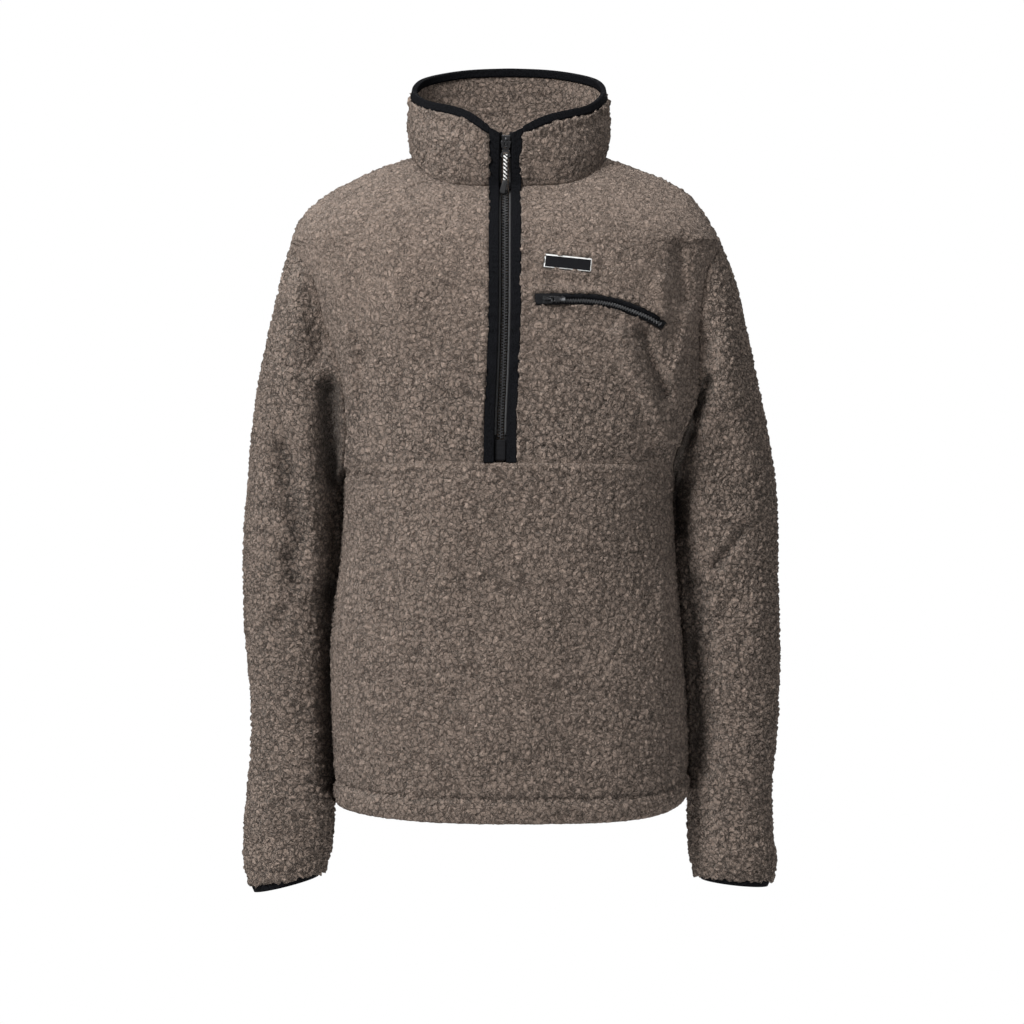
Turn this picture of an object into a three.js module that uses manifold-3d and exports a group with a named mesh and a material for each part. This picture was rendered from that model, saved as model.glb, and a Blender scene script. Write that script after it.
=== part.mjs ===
import * as THREE from "three";
import { mergeVertices } from "three/addons/utils/BufferGeometryUtils.js";
import Module from "manifold-3d";

// Sherpa fleece half-zip pullover in its hollow, filled-out form.
// Millimetres, +Z up, the front faces -Y, +X is the wearer's left.
// The origin is in the middle of the neck opening, where shoulders and collar meet.

const WALL = 5.5; // fleece with its pile
const EDGE_WALL = 2.2; // fleece pressed flat inside a binding
const GAP = 0.3; // clearance at every seam
const BIND_GAP = 0.6; // clearance between fleece and binding
const SEAM_DIP = 1.2; // how far the pile sinks at a seam
const BIND_DIP = 1.7; // how far it sinks beside a binding
const BIND_THICK = 0.7;
const PLACKET_LEG = 8.4; // binding leg on the placket
const RIM_LEG = 7;
const ZIP_HALF_GAP = 7.3; // placket edge to the middle of the zip
const ARMPIT_Z = -311;
const SHOULDER_Z = -73;
const CROSS_Z = -299; // seam between yoke and lower front
const HEM_Z = -641;
const HEM_FOLD = 23;
const NECK_HALF = 98;
const NECK_SIDE_Z = 13;
const NECK_FRONT_DROP = 35;
const NECK_BACK_RISE = 15;
const ZIP_END_Z = -272;
const COLLAR_ROWS = 5;
const COLLAR_BULGE = 5; // how far the collar bows out between neckline and rim
const CROSS_RISE = 4; // how much higher the cross seam is in the middle
const HEM_RISE = { right: 10, left: 21, fade: 190 }; // the hem rises to the sides
const HEM_ROLL = 2; // extra thickness of the folded hem

// Horizontal sections of the body: half widths, half depths and how square they are.
const BODY = {
  columns: ["z", "right", "left", "front", "back", "power"],
  rows: [
    [-650, 171, 179, 124, 118, 2.4],
    [-600, 173.5, 178, 125, 118, 2.4],
    [-560, 175, 177, 126, 117, 2.4],
    [-523, 176.5, 175, 126, 116, 2.4],
    [-480, 177, 172, 125, 114, 2.4],
    [-437, 173, 168.5, 124, 111, 2.4],
    [-395, 167, 165, 123, 109, 2.4],
    [-350, 164, 163, 122, 109, 2.4],
    [-311, 165, 164, 122, 110, 2.4],
    [-290, 168, 171, 122, 111, 2.4],
    [-260, 170, 187, 122, 112, 2.4],
    [-218, 176, 199, 122, 114, 2.4],
    [-190, 181, 199, 121, 115, 2.4],
    [-160, 193, 198, 119, 115, 2.4],
    [-130, 203, 202, 116, 114, 2.4],
    [-100, 213, 208, 111, 111, 2.35],
    [-73, 218, 212, 103, 106, 2.3],
    [-52, 212, 201, 92, 101, 2.2],
    [-28, 189, 186, 73, 92, 2.15],
    [-16, 169, 172, 61, 87, 2.1],
    [-4, 144, 142, 49, 81, 2.05],
    [8, 120, 112, 40, 74, 2],
    [13, 98, 98, 36, 70, 2],
    [20, 98, 98, 33, 64, 2],
    [28, 98, 98, 30, 58, 2],
    [34, 98, 98, 30, 54, 2],
  ],
};

// Where the armhole seam lies, as a half width of the panels.
const ARMHOLE = {
  columns: ["z", "right", "left"],
  rows: [
    [-311, 165, 164],
    [-301, 163.5, 162],
    [-290, 162.5, 164],
    [-262, 160.5, 177],
    [-218, 163.5, 189],
    [-192, 169, 189],
    [-163, 183, 188.5],
    [-129, 189, 191],
    [-104, 197, 196],
    [-90, 206.5, 202.5],
    [-79, 215, 209.5],
    [-73, 218, 212],
  ],
};

// The side seams swing to the front below the armpits, where the hand pockets open.
const SIDE_SEAM = {
  columns: ["z", "angle"],
  rows: [
    [-650, 80],
    [-560, 76],
    [-500, 73],
    [-420, 74],
    [-370, 80],
    [-311, 90],
  ],
};

// The zip leans to the wearer's right on its way down.
const ZIP_LINE = {
  columns: ["z", "x"],
  rows: [
    [-310, -8.5],
    [-263, -8.2],
    [-200, -5.5],
    [-128, -3.9],
    [-28, -3.8],
    [30, -2.8],
  ],
};

// Rim of the collar, by the share of the way from the zip round to the middle of the back,
// with its width and height on either side.
const RIM = {
  columns: ["share", "leftX", "rightX", "y", "leftZ", "rightZ"],
  rows: [
    [0, 10.1, 16, -79, 28, 28],
    [0.1, 19, 24, -77, 35.5, 36.5],
    [0.2, 35, 39, -72, 44, 48],
    [0.3, 56, 58, -62, 50.5, 55.5],
    [0.4, 79, 79.5, -44, 57.5, 61.5],
    [0.5, 98.5, 98.5, -4, 77, 77],
    [0.6, 92, 92, 20, 91, 91],
    [0.75, 65, 65, 43, 102, 102],
    [0.88, 33, 33, 55, 107.5, 107.5],
    [1, -2, -2, 58, 109, 109],
  ],
};

// Soft ridges and hollows of the body, as angle from the middle of the front and height.
const BODY_FOLDS = {
  columns: ["fromAngle", "fromZ", "toAngle", "toZ", "width", "height"],
  rows: [
    [38, -165, 58, -300, 16, 5],
    [50, -175, 68, -290, 14, -4],
    [-66, -150, -70, -270, 14, -3.5],
    [-54, -170, -62, -280, 16, 3],
    [-58, -330, -30, -480, 26, -2.2],
    [56, -335, 26, -470, 24, -2.4],
    [14, -420, -8, -600, 30, 1.6],
    [-30, -560, -62, -420, 24, 1.8],
    [58, -440, 40, -610, 22, 1.8],
    [8, -60, 30, -190, 26, -1.6],
    [-12, -50, -34, -170, 28, -1.6],
    [150, -90, 165, -330, 26, -3],
    [206, -80, 192, -300, 24, -2.6],
    [128, -330, 170, -480, 24, -3],
    [230, -320, 188, -450, 26, -2.8],
    [140, -560, 200, -520, 20, 2],
    [180, -620, 176, -430, 30, 1.8],
  ],
};

// Outer and inner edge of each sleeve from armhole to cuff, half depth and middle.
const SLEEVE_LEFT = {
  columns: ["step", "outX", "outZ", "inX", "inZ", "depth", "mid"],
  rows: [
    [0, 212, -73, 164, -311, 58, 0],
    [0.45, 222.5, -96, 166.5, -315, 60, 0],
    [1, 230, -122, 166.2, -321, 61, 1],
    [2, 240, -170, 165.4, -333, 60, 3],
    [3, 250, -218, 164.9, -349, 58, 5],
    [4, 260, -266, 165.4, -369, 56, 6],
    [5, 267, -314, 166.7, -394, 54, 7],
    [6, 269, -362, 169, -424, 52, 7],
    [7, 269, -412, 171.8, -458, 50, 6],
    [8, 271, -470, 175.4, -502, 47, 4],
    [9, 270, -522, 177.8, -542, 45, 2],
    [10, 267, -570, 179.5, -582, 43, -2],
    [11, 261.5, -618, 180.6, -622, 41, -5],
    [12, 263, -664, 180.5, -662, 40, -8],
    [13, 267.5, -692, 182, -688, 38, -10],
    [14, 259, -713, 190, -706, 32, -11],
  ],
};
const SLEEVE_RIGHT = {
  columns: ["step", "outX", "outZ", "inX", "inZ", "depth", "mid"],
  rows: [
    [0, 218, -73, 165, -311, 58, 0],
    [0.45, 225.5, -96, 167.5, -315, 60, 0],
    [1, 231, -122, 167.2, -321, 61, 1],
    [2, 243, -171, 166.4, -333, 60, 3],
    [3, 252, -219, 165.8, -349, 58, 5],
    [4, 258, -267, 166.8, -369, 56, 6],
    [5, 261, -315, 168.7, -394, 54, 7],
    [6, 266, -363, 172.7, -424, 52, 7],
    [7, 265.5, -412, 176.9, -458, 50, 6],
    [8, 264, -470, 178.6, -502, 46, 4],
    [9, 258, -520, 177.6, -542, 44, 2],
    [10, 257, -570, 176, -582, 42, -2],
    [11, 261, -618, 175.4, -620, 41, -5],
    [12, 265, -664, 177.5, -658, 39, -8],
    [13, 264, -696, 180.5, -684, 37, -10],
    [14, 255, -719, 188.5, -703, 32, -11],
  ],
};

// Creases of a sleeve: step along it and angle round it (0 outside, 90 front, 180 inside).
const SLEEVE_FOLDS_LEFT = {
  columns: ["fromStep", "fromAngle", "toStep", "toAngle", "width", "height"],
  rows: [
    [0.2, 60, 4.6, 62, 13, 4],
    [0.4, 85, 5, 84, 13, -4],
    [3.5, 130, 6.5, 95, 14, -3.5],
    [6.5, 60, 8.2, 140, 13, -3.5],
    [7.2, 50, 9, 120, 13, 2.5],
    [8.8, 70, 9.6, 150, 14, -2.5],
    [11, 30, 11.6, 120, 12, -2.5],
    [12.2, 60, 12.6, 140, 10, 2],
    [1.6, 146, 4.8, 150, 14, -6],
    [2, 250, 7, 235, 18, -3.5],
    [7, 200, 8.5, 300, 14, -3],
    [10, 220, 11, 300, 14, -2],
  ],
};
const SLEEVE_FOLDS_RIGHT = {
  columns: ["fromStep", "fromAngle", "toStep", "toAngle", "width", "height"],
  rows: [
    [0.3, 70, 5, 80, 14, -3.5],
    [0.6, 48, 5.5, 55, 15, 3],
    [6.5, 140, 8.2, 70, 13, -4],
    [7.4, 150, 8.8, 80, 12, 3],
    [8.6, 40, 9.4, 110, 12, -3],
    [4.2, 130, 6.2, 100, 14, -3],
    [10.6, 50, 11, 140, 13, -2.5],
    [12, 30, 12.4, 130, 11, -2],
    [1.3, 142, 5, 148, 15, -8],
    [2, 245, 6.5, 240, 18, -3],
    [6.8, 215, 8.4, 310, 14, -3.2],
    [10, 230, 10.6, 310, 14, -2],
  ],
};

// Small hard pieces.
const CHAIN = { half: 3.1, thick: 3, depth: 5.6 };
const TAPE = { inner: 3.5, outer: 15, thick: 0.8, depth: 5.2 };
const SLIDER = { wide: 9, long: 12, high: 5.4, z: 19 };
const PULL = {
  wide: 10.4, waist: 6.4, long: 15, thick: 1.6, slot: 4.9, cordLong: 22, cordWide: 3.8, cordThick: 1.1,
  endTop: 4.8, endLean: 2.6, endWide: 5.8, endLong: 13, endThick: 3,
};
const POCKET = {
  fromX: 25, toX: 150, chainFromX: 44, wide: 10.6, thick: 1.2, lift: 0.7, sliderX: 37, pullLong: 17,
  chainWide: 3, chainThick: 1.4,
};
const POCKET_LINE = {
  columns: ["x", "z"],
  rows: [
    [20, -137.5],
    [71, -137],
    [98, -140],
    [119, -146.5],
    [140, -155],
    [152, -162.5],
  ],
};
const LABEL = { x: 57, z: -102, wide: 46, high: 13, tilt: -5.5, thick: 0.8 };

const FLEECE = { color: 0x655a53, roughness: 0.96 };
const BLACK_KNIT = { color: 0x0d0d0e, roughness: 0.85 };
const BLACK_ZIP = { color: 0x17181a, roughness: 0.5 };
const BLACK_METAL = { color: 0x111214, roughness: 0.25, metalness: 0.8 };

const V = (x, y, z) => new THREE.Vector3(x, y, z);
const rad = THREE.MathUtils.degToRad;
const clamp = THREE.MathUtils.clamp;
const mix = THREE.MathUtils.lerp;
const smooth = THREE.MathUtils.smoothstep;
const onward = (p, direction, distance) => p.clone().addScaledVector(direction, distance);

// A named column of a table as a smooth function of its first column.
function curve(table, name) {
  const c = table.columns.indexOf(name);
  const xs = table.rows.map((r) => r[0]);
  const ys = table.rows.map((r) => r[c]);
  const rise = xs.slice(1).map((x, i) => (ys[i + 1] - ys[i]) / (x - xs[i]));
  const slope = xs.map((_, i) => {
    if (i === 0) return rise[0];
    if (i === xs.length - 1) return rise[i - 1];
    const [a, b] = [rise[i - 1], rise[i]];
    return a * b <= 0 ? 0 : (2 * a * b) / (a + b);
  });
  return (x) => {
    let i = 0;
    while (i < xs.length - 2 && x > xs[i + 1]) i++;
    const h = xs[i + 1] - xs[i];
    const s = clamp((x - xs[i]) / h, 0, 1);
    const a = ys[i] * (1 + 2 * s) * (1 - s) ** 2 + ys[i + 1] * (3 - 2 * s) * s * s;
    return a + h * (slope[i] * s * (1 - s) ** 2 + slope[i + 1] * (s - 1) * s * s);
  };
}

const section = Object.fromEntries(BODY.columns.slice(1).map((n) => [n, curve(BODY, n)]));
const armhole = { right: curve(ARMHOLE, "right"), left: curve(ARMHOLE, "left") };
const seamAngle = curve(SIDE_SEAM, "angle");
const zipX = curve(ZIP_LINE, "x");

// The height of all soft folds at one place, each a ridge along a line with tapered ends.
function foldHeight(folds, a, b, perA, perB) {
  let sum = 0;
  for (const [a0, b0, a1, b1, width, height] of folds.rows) {
    const u = (a1 - a0) * perA;
    const v = (b1 - b0) * perB;
    const p = (a - a0) * perA;
    const q = (b - b0) * perB;
    const along = (p * u + q * v) / (u * u + v * v);
    const s = clamp(along, 0, 1);
    const away = Math.hypot(p - s * u, q - s * v) / width;
    sum += height * Math.exp(-away * away) * (0.45 + 0.55 * Math.sin(Math.PI * s));
  }
  return sum;
}

// The angle at which a body section reaches a half width.
function angleAt(x, z) {
  const p = section.power(z);
  const r = Math.min(Math.abs(x) / (x < 0 ? section.right(z) : section.left(z)), 0.9999);
  const t = Math.atan((r ** p / (1 - r ** p)) ** (1 / p));
  return x < 0 ? -t : t;
}

// The plain body at an angle from the middle of the front and a height.
function plainBody(t, z) {
  const [s, c] = [Math.sin(t), Math.cos(t)];
  const p = section.power(z);
  const k = (Math.abs(s) ** p + Math.abs(c) ** p) ** (-1 / p);
  const half = s > 0 ? section.left(z) : section.right(z);
  const deep = c > 0 ? section.front(z) : section.back(z);
  return V(half * s * k, -deep * c * k, z);
}
function normalOf(surface, t, z) {
  const [dt, dz] = [0.01, 1.5];
  const across = surface(t + dt, z).sub(surface(t - dt, z));
  const up = surface(t, z + dz).sub(surface(t, z - dz));
  return across.cross(up).normalize();
}
function body(t, z) {
  const turn = THREE.MathUtils.radToDeg(t);
  const angle = turn < -100 ? turn + 360 : turn;
  const f = foldHeight(BODY_FOLDS, angle, z, 2.5, 1) + foldHeight(BODY_FOLDS, angle - 360, z, 2.5, 1);
  return onward(plainBody(t, z), normalOf(plainBody, t, z), f);
}

// Heights of the seam rows, the same for fronts, back and sleeves.
const ARM_STEPS = 14;
const YOKE_Z = [-73, -55, -39, -25, -11, 2, 13];
const armZ = Array.from({ length: ARM_STEPS + 1 }, (_, k) => {
  const share = k / ARM_STEPS;
  const round = (1 - Math.cos(Math.PI * share)) / 2;
  return mix(ARMPIT_Z, SHOULDER_Z, mix(share, round, mix(0.45, 0.8, share)));
});
armZ[1] = CROSS_Z;
const LOWER_Z = [0, 8, 17, HEM_FOLD, 30, 52, 78, 105, 132, 160, 188, 216, 244, 272, 302].map(
  (d) => HEM_Z + d,
);

// How far the hem rises towards the sides, fading upwards.
function hemLift(t, z) {
  const s = Math.sin(t);
  const lift = s < 0 ? HEM_RISE.right * Math.abs(s) ** 2.7 : HEM_RISE.left * s ** 6;
  return lift * (1 - smooth(z, HEM_Z, HEM_Z + HEM_RISE.fade));
}
// The cross seam is a little higher in the middle.
const crossLift = (t, z) => CROSS_RISE * Math.cos(t) ** 2 * Math.exp(-(((z - CROSS_Z) / 60) ** 2));

// The edge angle of a panel at the height of a row.
function edgeAngle(z, side) {
  if (z <= ARMPIT_Z + 0.01) return rad(seamAngle(z));
  if (z >= SHOULDER_Z - 0.01) return Math.PI / 2;
  return Math.abs(angleAt(side * armhole[side < 0 ? "right" : "left"](z), z));
}
const neckFront = (x) => NECK_SIDE_Z - NECK_FRONT_DROP * (1 - (Math.abs(x) / NECK_HALF) ** 5);
const neckBack = (x) => NECK_SIDE_Z + NECK_BACK_RISE * (1 - (Math.abs(x) / NECK_HALF) ** 2.5);

// Angle and height of the shoulder rows, which bend from level to the neckline.
function yokeSpot(row, f, low, neckX, front) {
  const w = row / (YOKE_Z.length - 1);
  const z1 = front ? neckFront(neckX) : neckBack(neckX);
  let t1 = angleAt(neckX, z1);
  if (!front) t1 = Math.PI - t1;
  if (Math.abs(neckX) > NECK_HALF - 0.01) t1 = (Math.sign(neckX) * Math.PI) / 2;
  if (!front && t1 < 0) t1 += 2 * Math.PI;
  const side = YOKE_Z[row] - mix(YOKE_Z[0], NECK_SIDE_Z, w);
  return [mix(low, t1, w), mix(SHOULDER_Z, z1, w) + side * f];
}

// Direction from an outer point of the armhole seam to the inside, in the plane of the seam.
function armholeInward(side, z, front) {
  const spot = (h) => {
    const hz = clamp(h, ARMPIT_Z + 0.2, SHOULDER_Z - 0.2);
    const t = edgeAngle(hz, side);
    return body(side * (front ? t : Math.PI - t), hz);
  };
  const centre = V(0, 0, (ARMPIT_Z + SHOULDER_Z) / 2);
  const p = spot(z);
  const d = V(0, centre.y - p.y, (centre.z - p.z) * 0.5);
  const near = smooth(Math.abs(z - centre.z), 70, 119);
  return d.normalize().lerp(V(0, 0, Math.sign(centre.z - z)), near * near).normalize();
}

// A closed wall between two equal grids of points, optionally joined round as a tube.
function wall(outer, inner, round = false) {
  const rows = outer.length;
  const cols = outer[0].length;
  const points = [...outer.flat(), ...inner.flat()];
  const o = (r, c) => r * cols + (c % cols);
  const i = (r, c) => rows * cols + o(r, c);
  const faces = [];
  const quad = (a, b, c, d) => faces.push(a, b, c, a, c, d);
  const last = round ? cols : cols - 1;
  for (let r = 0; r < rows - 1; r++)
    for (let c = 0; c < last; c++) {
      quad(o(r, c), o(r, c + 1), o(r + 1, c + 1), o(r + 1, c));
      quad(i(r, c), i(r + 1, c), i(r + 1, c + 1), i(r, c + 1));
    }
  const rank = (k) => points[k].z + 0.37 * points[k].x + 0.11 * points[k].y;
  // The rim quad a, b with inner points: neighbours across a seam split it the same way.
  const rim = (a, b, ib, ia) => (rank(a) < rank(b) ? quad(a, b, ib, ia) : quad(b, ib, ia, a));
  for (let c = 0; c < last; c++) {
    rim(o(0, c + 1), o(0, c), i(0, c), i(0, c + 1));
    rim(o(rows - 1, c), o(rows - 1, c + 1), i(rows - 1, c + 1), i(rows - 1, c));
  }
  if (!round)
    for (let r = 0; r < rows - 1; r++) {
      rim(o(r, 0), o(r + 1, 0), i(r + 1, 0), i(r, 0));
      rim(o(r + 1, cols - 1), o(r, cols - 1), i(r, cols - 1), i(r + 1, cols - 1));
    }
  return geometry(points, faces);
}

// A closed bar through equal cross sections, each a loop of points.
function bar(loops, closed = false) {
  const n = loops[0].length;
  const faces = [];
  const at = (k, j) => (k % loops.length) * n + (j % n);
  const steps = closed ? loops.length : loops.length - 1;
  for (let k = 0; k < steps; k++)
    for (let j = 0; j < n; j++)
      faces.push(at(k, j), at(k, j + 1), at(k + 1, j + 1), at(k, j), at(k + 1, j + 1), at(k + 1, j));
  if (!closed) {
    const caps = Array.from({ length: n / 2 - 1 }, (_, j) => [j, j + 1, n - 2 - j, n - 1 - j]);
    const end = loops.length - 1;
    for (const [a, b, c, d] of caps) {
      faces.push(at(0, a), at(0, c), at(0, b), at(0, a), at(0, d), at(0, c));
      faces.push(at(end, a), at(end, b), at(end, c), at(end, a), at(end, c), at(end, d));
    }
  }
  return geometry(loops.flat(), faces);
}

function geometry(points, faces) {
  const g = new THREE.BufferGeometry();
  g.setAttribute("position", new THREE.Float32BufferAttribute(points.flatMap((p) => [p.x, p.y, p.z]), 3));
  g.setIndex(faces);
  const p = points;
  let volume = 0;
  for (let k = 0; k < faces.length; k += 3)
    volume += p[faces[k]].dot(p[faces[k + 1]].clone().cross(p[faces[k + 2]]));
  if (volume < 0) g.setIndex(faces.slice().reverse());
  g.computeVertexNormals();
  return g;
}

const pullover = new THREE.Group();
pullover.name = "sherpa_pullover";
function add(name, geo, look) {
  const mesh = new THREE.Mesh(geo, new THREE.MeshStandardMaterial({ metalness: 0, ...look }));
  mesh.name = name;
  pullover.add(mesh);
  return mesh;
}

// One spot of a panel: outer point, direction to the inside, and wall thickness there.
function spot(t, z, options = {}) {
  const n = normalOf(body, t, z);
  const p = onward(body(t, z), n, -(options.dip ?? 0));
  const inward = options.inward ?? n.clone().negate();
  const thick = options.wall ?? WALL;
  return { outer: p, inner: onward(p, inward, thick), normal: n };
}

// Wall and dip over the folded hem.
function hemOptions(rowZ) {
  const up = rowZ - HEM_Z;
  if (up > HEM_FOLD + 4) return {};
  if (up === HEM_FOLD) return { dip: 1.6, wall: WALL };
  return up === 0 ? { dip: 1.4, wall: WALL } : { dip: 0, wall: WALL + HEM_ROLL };
}

const FRONT_COLS = 18;
const YOKE_COLS = 9;
const BACK_COLS = 20;

// Pushes a row's end points back along the row to leave half a seam gap.
function trimRow(row, ends) {
  for (const [end, next] of ends) {
    const [a, b] = [row[end], row[next]];
    const d = b.outer.clone().sub(a.outer).normalize();
    a.outer.addScaledVector(d, GAP / 2);
    a.inner.addScaledVector(d, GAP / 2);
  }
}
// Shifts a whole row of a grid towards its neighbour by half a gap.
function trimEnd(grid, row, next, by = GAP / 2) {
  grid[row].forEach((a, c) => {
    const d = grid[next][c].outer.clone().sub(a.outer).normalize();
    a.outer.addScaledVector(d, by);
    a.inner.addScaledVector(d, by);
  });
}
const asWall = (grid, round) =>
  wall(grid.map((r) => r.map((s) => s.outer)), grid.map((r) => r.map((s) => s.inner)), round);

// Edge options of a panel at a row: side seam, armhole or shoulder line.
function edgeOptions(z, side, front) {
  if (z > ARMPIT_Z + 0.01 && z < SHOULDER_Z - 0.01)
    return { dip: 0, inward: armholeInward(side, z, front), wall: WALL * 0.9 };
  if (z >= ARMPIT_Z - 0.01 && z <= ARMPIT_Z + 0.01)
    return { dip: 0, inward: V(0, 0, 1), wall: WALL * 0.9 };
  if (z >= SHOULDER_Z - 0.01 && z <= SHOULDER_Z + 0.01)
    return { dip: 0, inward: V(0, 0, -1), wall: WALL * 0.9 };
  return { dip: SEAM_DIP };
}
// Ends of rows at the middle plane keep their y, so that front and back never cross.
function flatten(s, front) {
  const limit = front ? -GAP / 2 : GAP / 2;
  for (const p of [s.outer, s.inner]) p.y = limit;
}

const rowsBelow = LOWER_Z.filter((z) => z < ARMPIT_Z - 8);

function lowerFront() {
  const heights = [...rowsBelow, armZ[0], CROSS_Z];
  const grid = heights.map((rowZ) =>
    Array.from({ length: FRONT_COLS + 1 }, (_, c) => {
      const f = (2 * c) / FRONT_COLS - 1;
      const side = Math.sign(f) || 1;
      const t = f * edgeAngle(rowZ, side);
      const z = rowZ + hemLift(t, rowZ) + crossLift(t, rowZ);
      const edge = c === 0 || c === FRONT_COLS;
      let options = edge ? edgeOptions(rowZ, side, true) : hemOptions(rowZ);
      if (rowZ === CROSS_Z && !edge) options = { dip: SEAM_DIP };
      const s = spot(t, z, options);
      if (rowZ === armZ[0] && edge) flatten(s, true);
      return s;
    }),
  );
  for (const row of grid) trimRow(row, [[0, 1], [FRONT_COLS, FRONT_COLS - 1]]);
  trimEnd(grid, grid.length - 1, grid.length - 2, GAP);
  return grid;
}

// Half a yoke: its columns run from the placket edge to armhole and shoulder.
function yokeFront(side) {
  const edgeX = (z) => zipX(z) + side * ZIP_HALF_GAP;
  const legX = (z) => zipX(z) + side * (ZIP_HALF_GAP + PLACKET_LEG);
  const low = [CROSS_Z, ...armZ.slice(2)];
  const total = low.length + YOKE_Z.length - 1;
  return Array.from({ length: total }, (_, r) => {
    const yoke = r - low.length + 1;
    const rowZ = yoke > 0 ? YOKE_Z[yoke] : low[r];
    const row = Array.from({ length: YOKE_COLS + 1 }, (_, c) => {
      const f = (c - 1) / (YOKE_COLS - 1);
      const startZ = yoke > 0 ? mix(SHOULDER_Z, neckFront(0), yoke / 6) : rowZ + crossLift(0.05, rowZ);
      let t;
      let z;
      if (c === 0) {
        z = startZ;
        t = angleAt(edgeX(z), z);
      } else if (yoke > 0) {
        const turn = mix(Math.asin(Math.abs(legX(startZ)) / NECK_HALF), Math.PI / 2, f);
        const low0 = mix(angleAt(legX(SHOULDER_Z), SHOULDER_Z), (side * Math.PI) / 2, f);
        [t, z] = yokeSpot(yoke, f * f, low0, side * NECK_HALF * Math.sin(turn), true);
        if (c === 1) t = angleAt(legX(z), z);
      } else {
        t = mix(angleAt(legX(rowZ), rowZ), side * edgeAngle(rowZ, side), f);
        z = rowZ + crossLift(t, rowZ);
      }
      let options = {};
      if (c === YOKE_COLS) options = edgeOptions(rowZ, side, true);
      else if (c === 0) options = { dip: BIND_DIP, wall: EDGE_WALL };
      else if (c === 1) options = { dip: BIND_DIP * 0.8, wall: EDGE_WALL + 0.4 };
      else if (r === 0 || r === total - 1) options = { dip: SEAM_DIP };
      const s = spot(t, z, options);
      if (c === YOKE_COLS && rowZ >= SHOULDER_Z - 0.01) flatten(s, true);
      return s;
    });
    trimRow(row, [[YOKE_COLS, YOKE_COLS - 1]]);
    return row;
  });
}

function backPanel() {
  const low = [...rowsBelow, ...armZ];
  const total = low.length + YOKE_Z.length - 1;
  return Array.from({ length: total }, (_, r) => {
    const yoke = r - low.length + 1;
    const rowZ = yoke > 0 ? YOKE_Z[yoke] : low[r];
    const row = Array.from({ length: BACK_COLS + 1 }, (_, c) => {
      const f = c / BACK_COLS;
      const side = c * 2 <= BACK_COLS ? 1 : -1;
      const edge = c === 0 || c === BACK_COLS;
      let t;
      let z;
      if (yoke > 0) {
        const neckX = NECK_HALF * Math.cos(Math.PI * f);
        const low0 = mix(Math.PI / 2, 1.5 * Math.PI, f);
        [t, z] = yokeSpot(yoke, Math.abs(2 * f - 1) ** 2, low0, neckX, false);
      } else {
        const [fromEdge, toEdge] = [edgeAngle(rowZ, 1), edgeAngle(rowZ, -1)];
        const above = rowZ > ARMPIT_Z + 0.01;
        const fromT = above ? Math.PI - fromEdge : fromEdge;
        const toT = above ? Math.PI + toEdge : 2 * Math.PI - toEdge;
        t = mix(fromT, toT, f);
        z = rowZ + hemLift(t, rowZ);
      }
      let options = edge ? edgeOptions(rowZ, side, false) : hemOptions(rowZ);
      if (r === total - 1 && !edge) options = { dip: SEAM_DIP };
      const s = spot(t, z, options);
      if (edge && (rowZ === armZ[0] || rowZ >= SHOULDER_Z - 0.01)) flatten(s, false);
      return s;
    });
    trimRow(row, [[0, 1], [BACK_COLS, BACK_COLS - 1]]);
    return row;
  });
}

const lower = lowerFront();
const yokes = { left: yokeFront(1), right: yokeFront(-1) };
const back = backPanel();
for (const grid of [yokes.left, yokes.right]) {
  trimEnd(grid, 0, 1, GAP);
  trimEnd(grid, grid.length - 1, grid.length - 2);
}
trimEnd(back, back.length - 1, back.length - 2);
add("front_lower", asWall(lower), FLEECE);
add("yoke_front_left", asWall(yokes.left), FLEECE);
add("yoke_front_right", asWall(yokes.right), FLEECE);
add("back", asWall(back), FLEECE);

// The armhole loop of one side: from the shoulder down the front and up the back.
function armholeLoop(side) {
  const loop = [];
  const place = (z, front) => {
    const t = edgeAngle(z, side);
    const p = body(side * (front ? t : Math.PI - t), z);
    loop.push({ p, inward: armholeInward(side, z, front) });
  };
  for (let k = ARM_STEPS; k >= 0; k--) place(armZ[k], true);
  for (let k = 1; k < ARM_STEPS; k++) place(armZ[k], false);
  for (const k of [0, ARM_STEPS]) {
    loop[k].p.y = 0;
    loop[k].inward = V(0, 0, k ? 1 : -1);
  }
  return loop;
}

const SLEEVE_STEPS = [
  0, 0.45, 1, 1.6, 2.2, 2.9, 3.6, 4.3, 5, 5.6, 6.2, 6.7, 7.2, 7.7, 8.2, 8.7, 9.2, 9.7, 10.3, 10.9,
  11.5, 12.1, 12.7, 13.25, 13.75, 14,
];
const LAST_STEP = SLEEVE_STEPS[SLEEVE_STEPS.length - 1];

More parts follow.
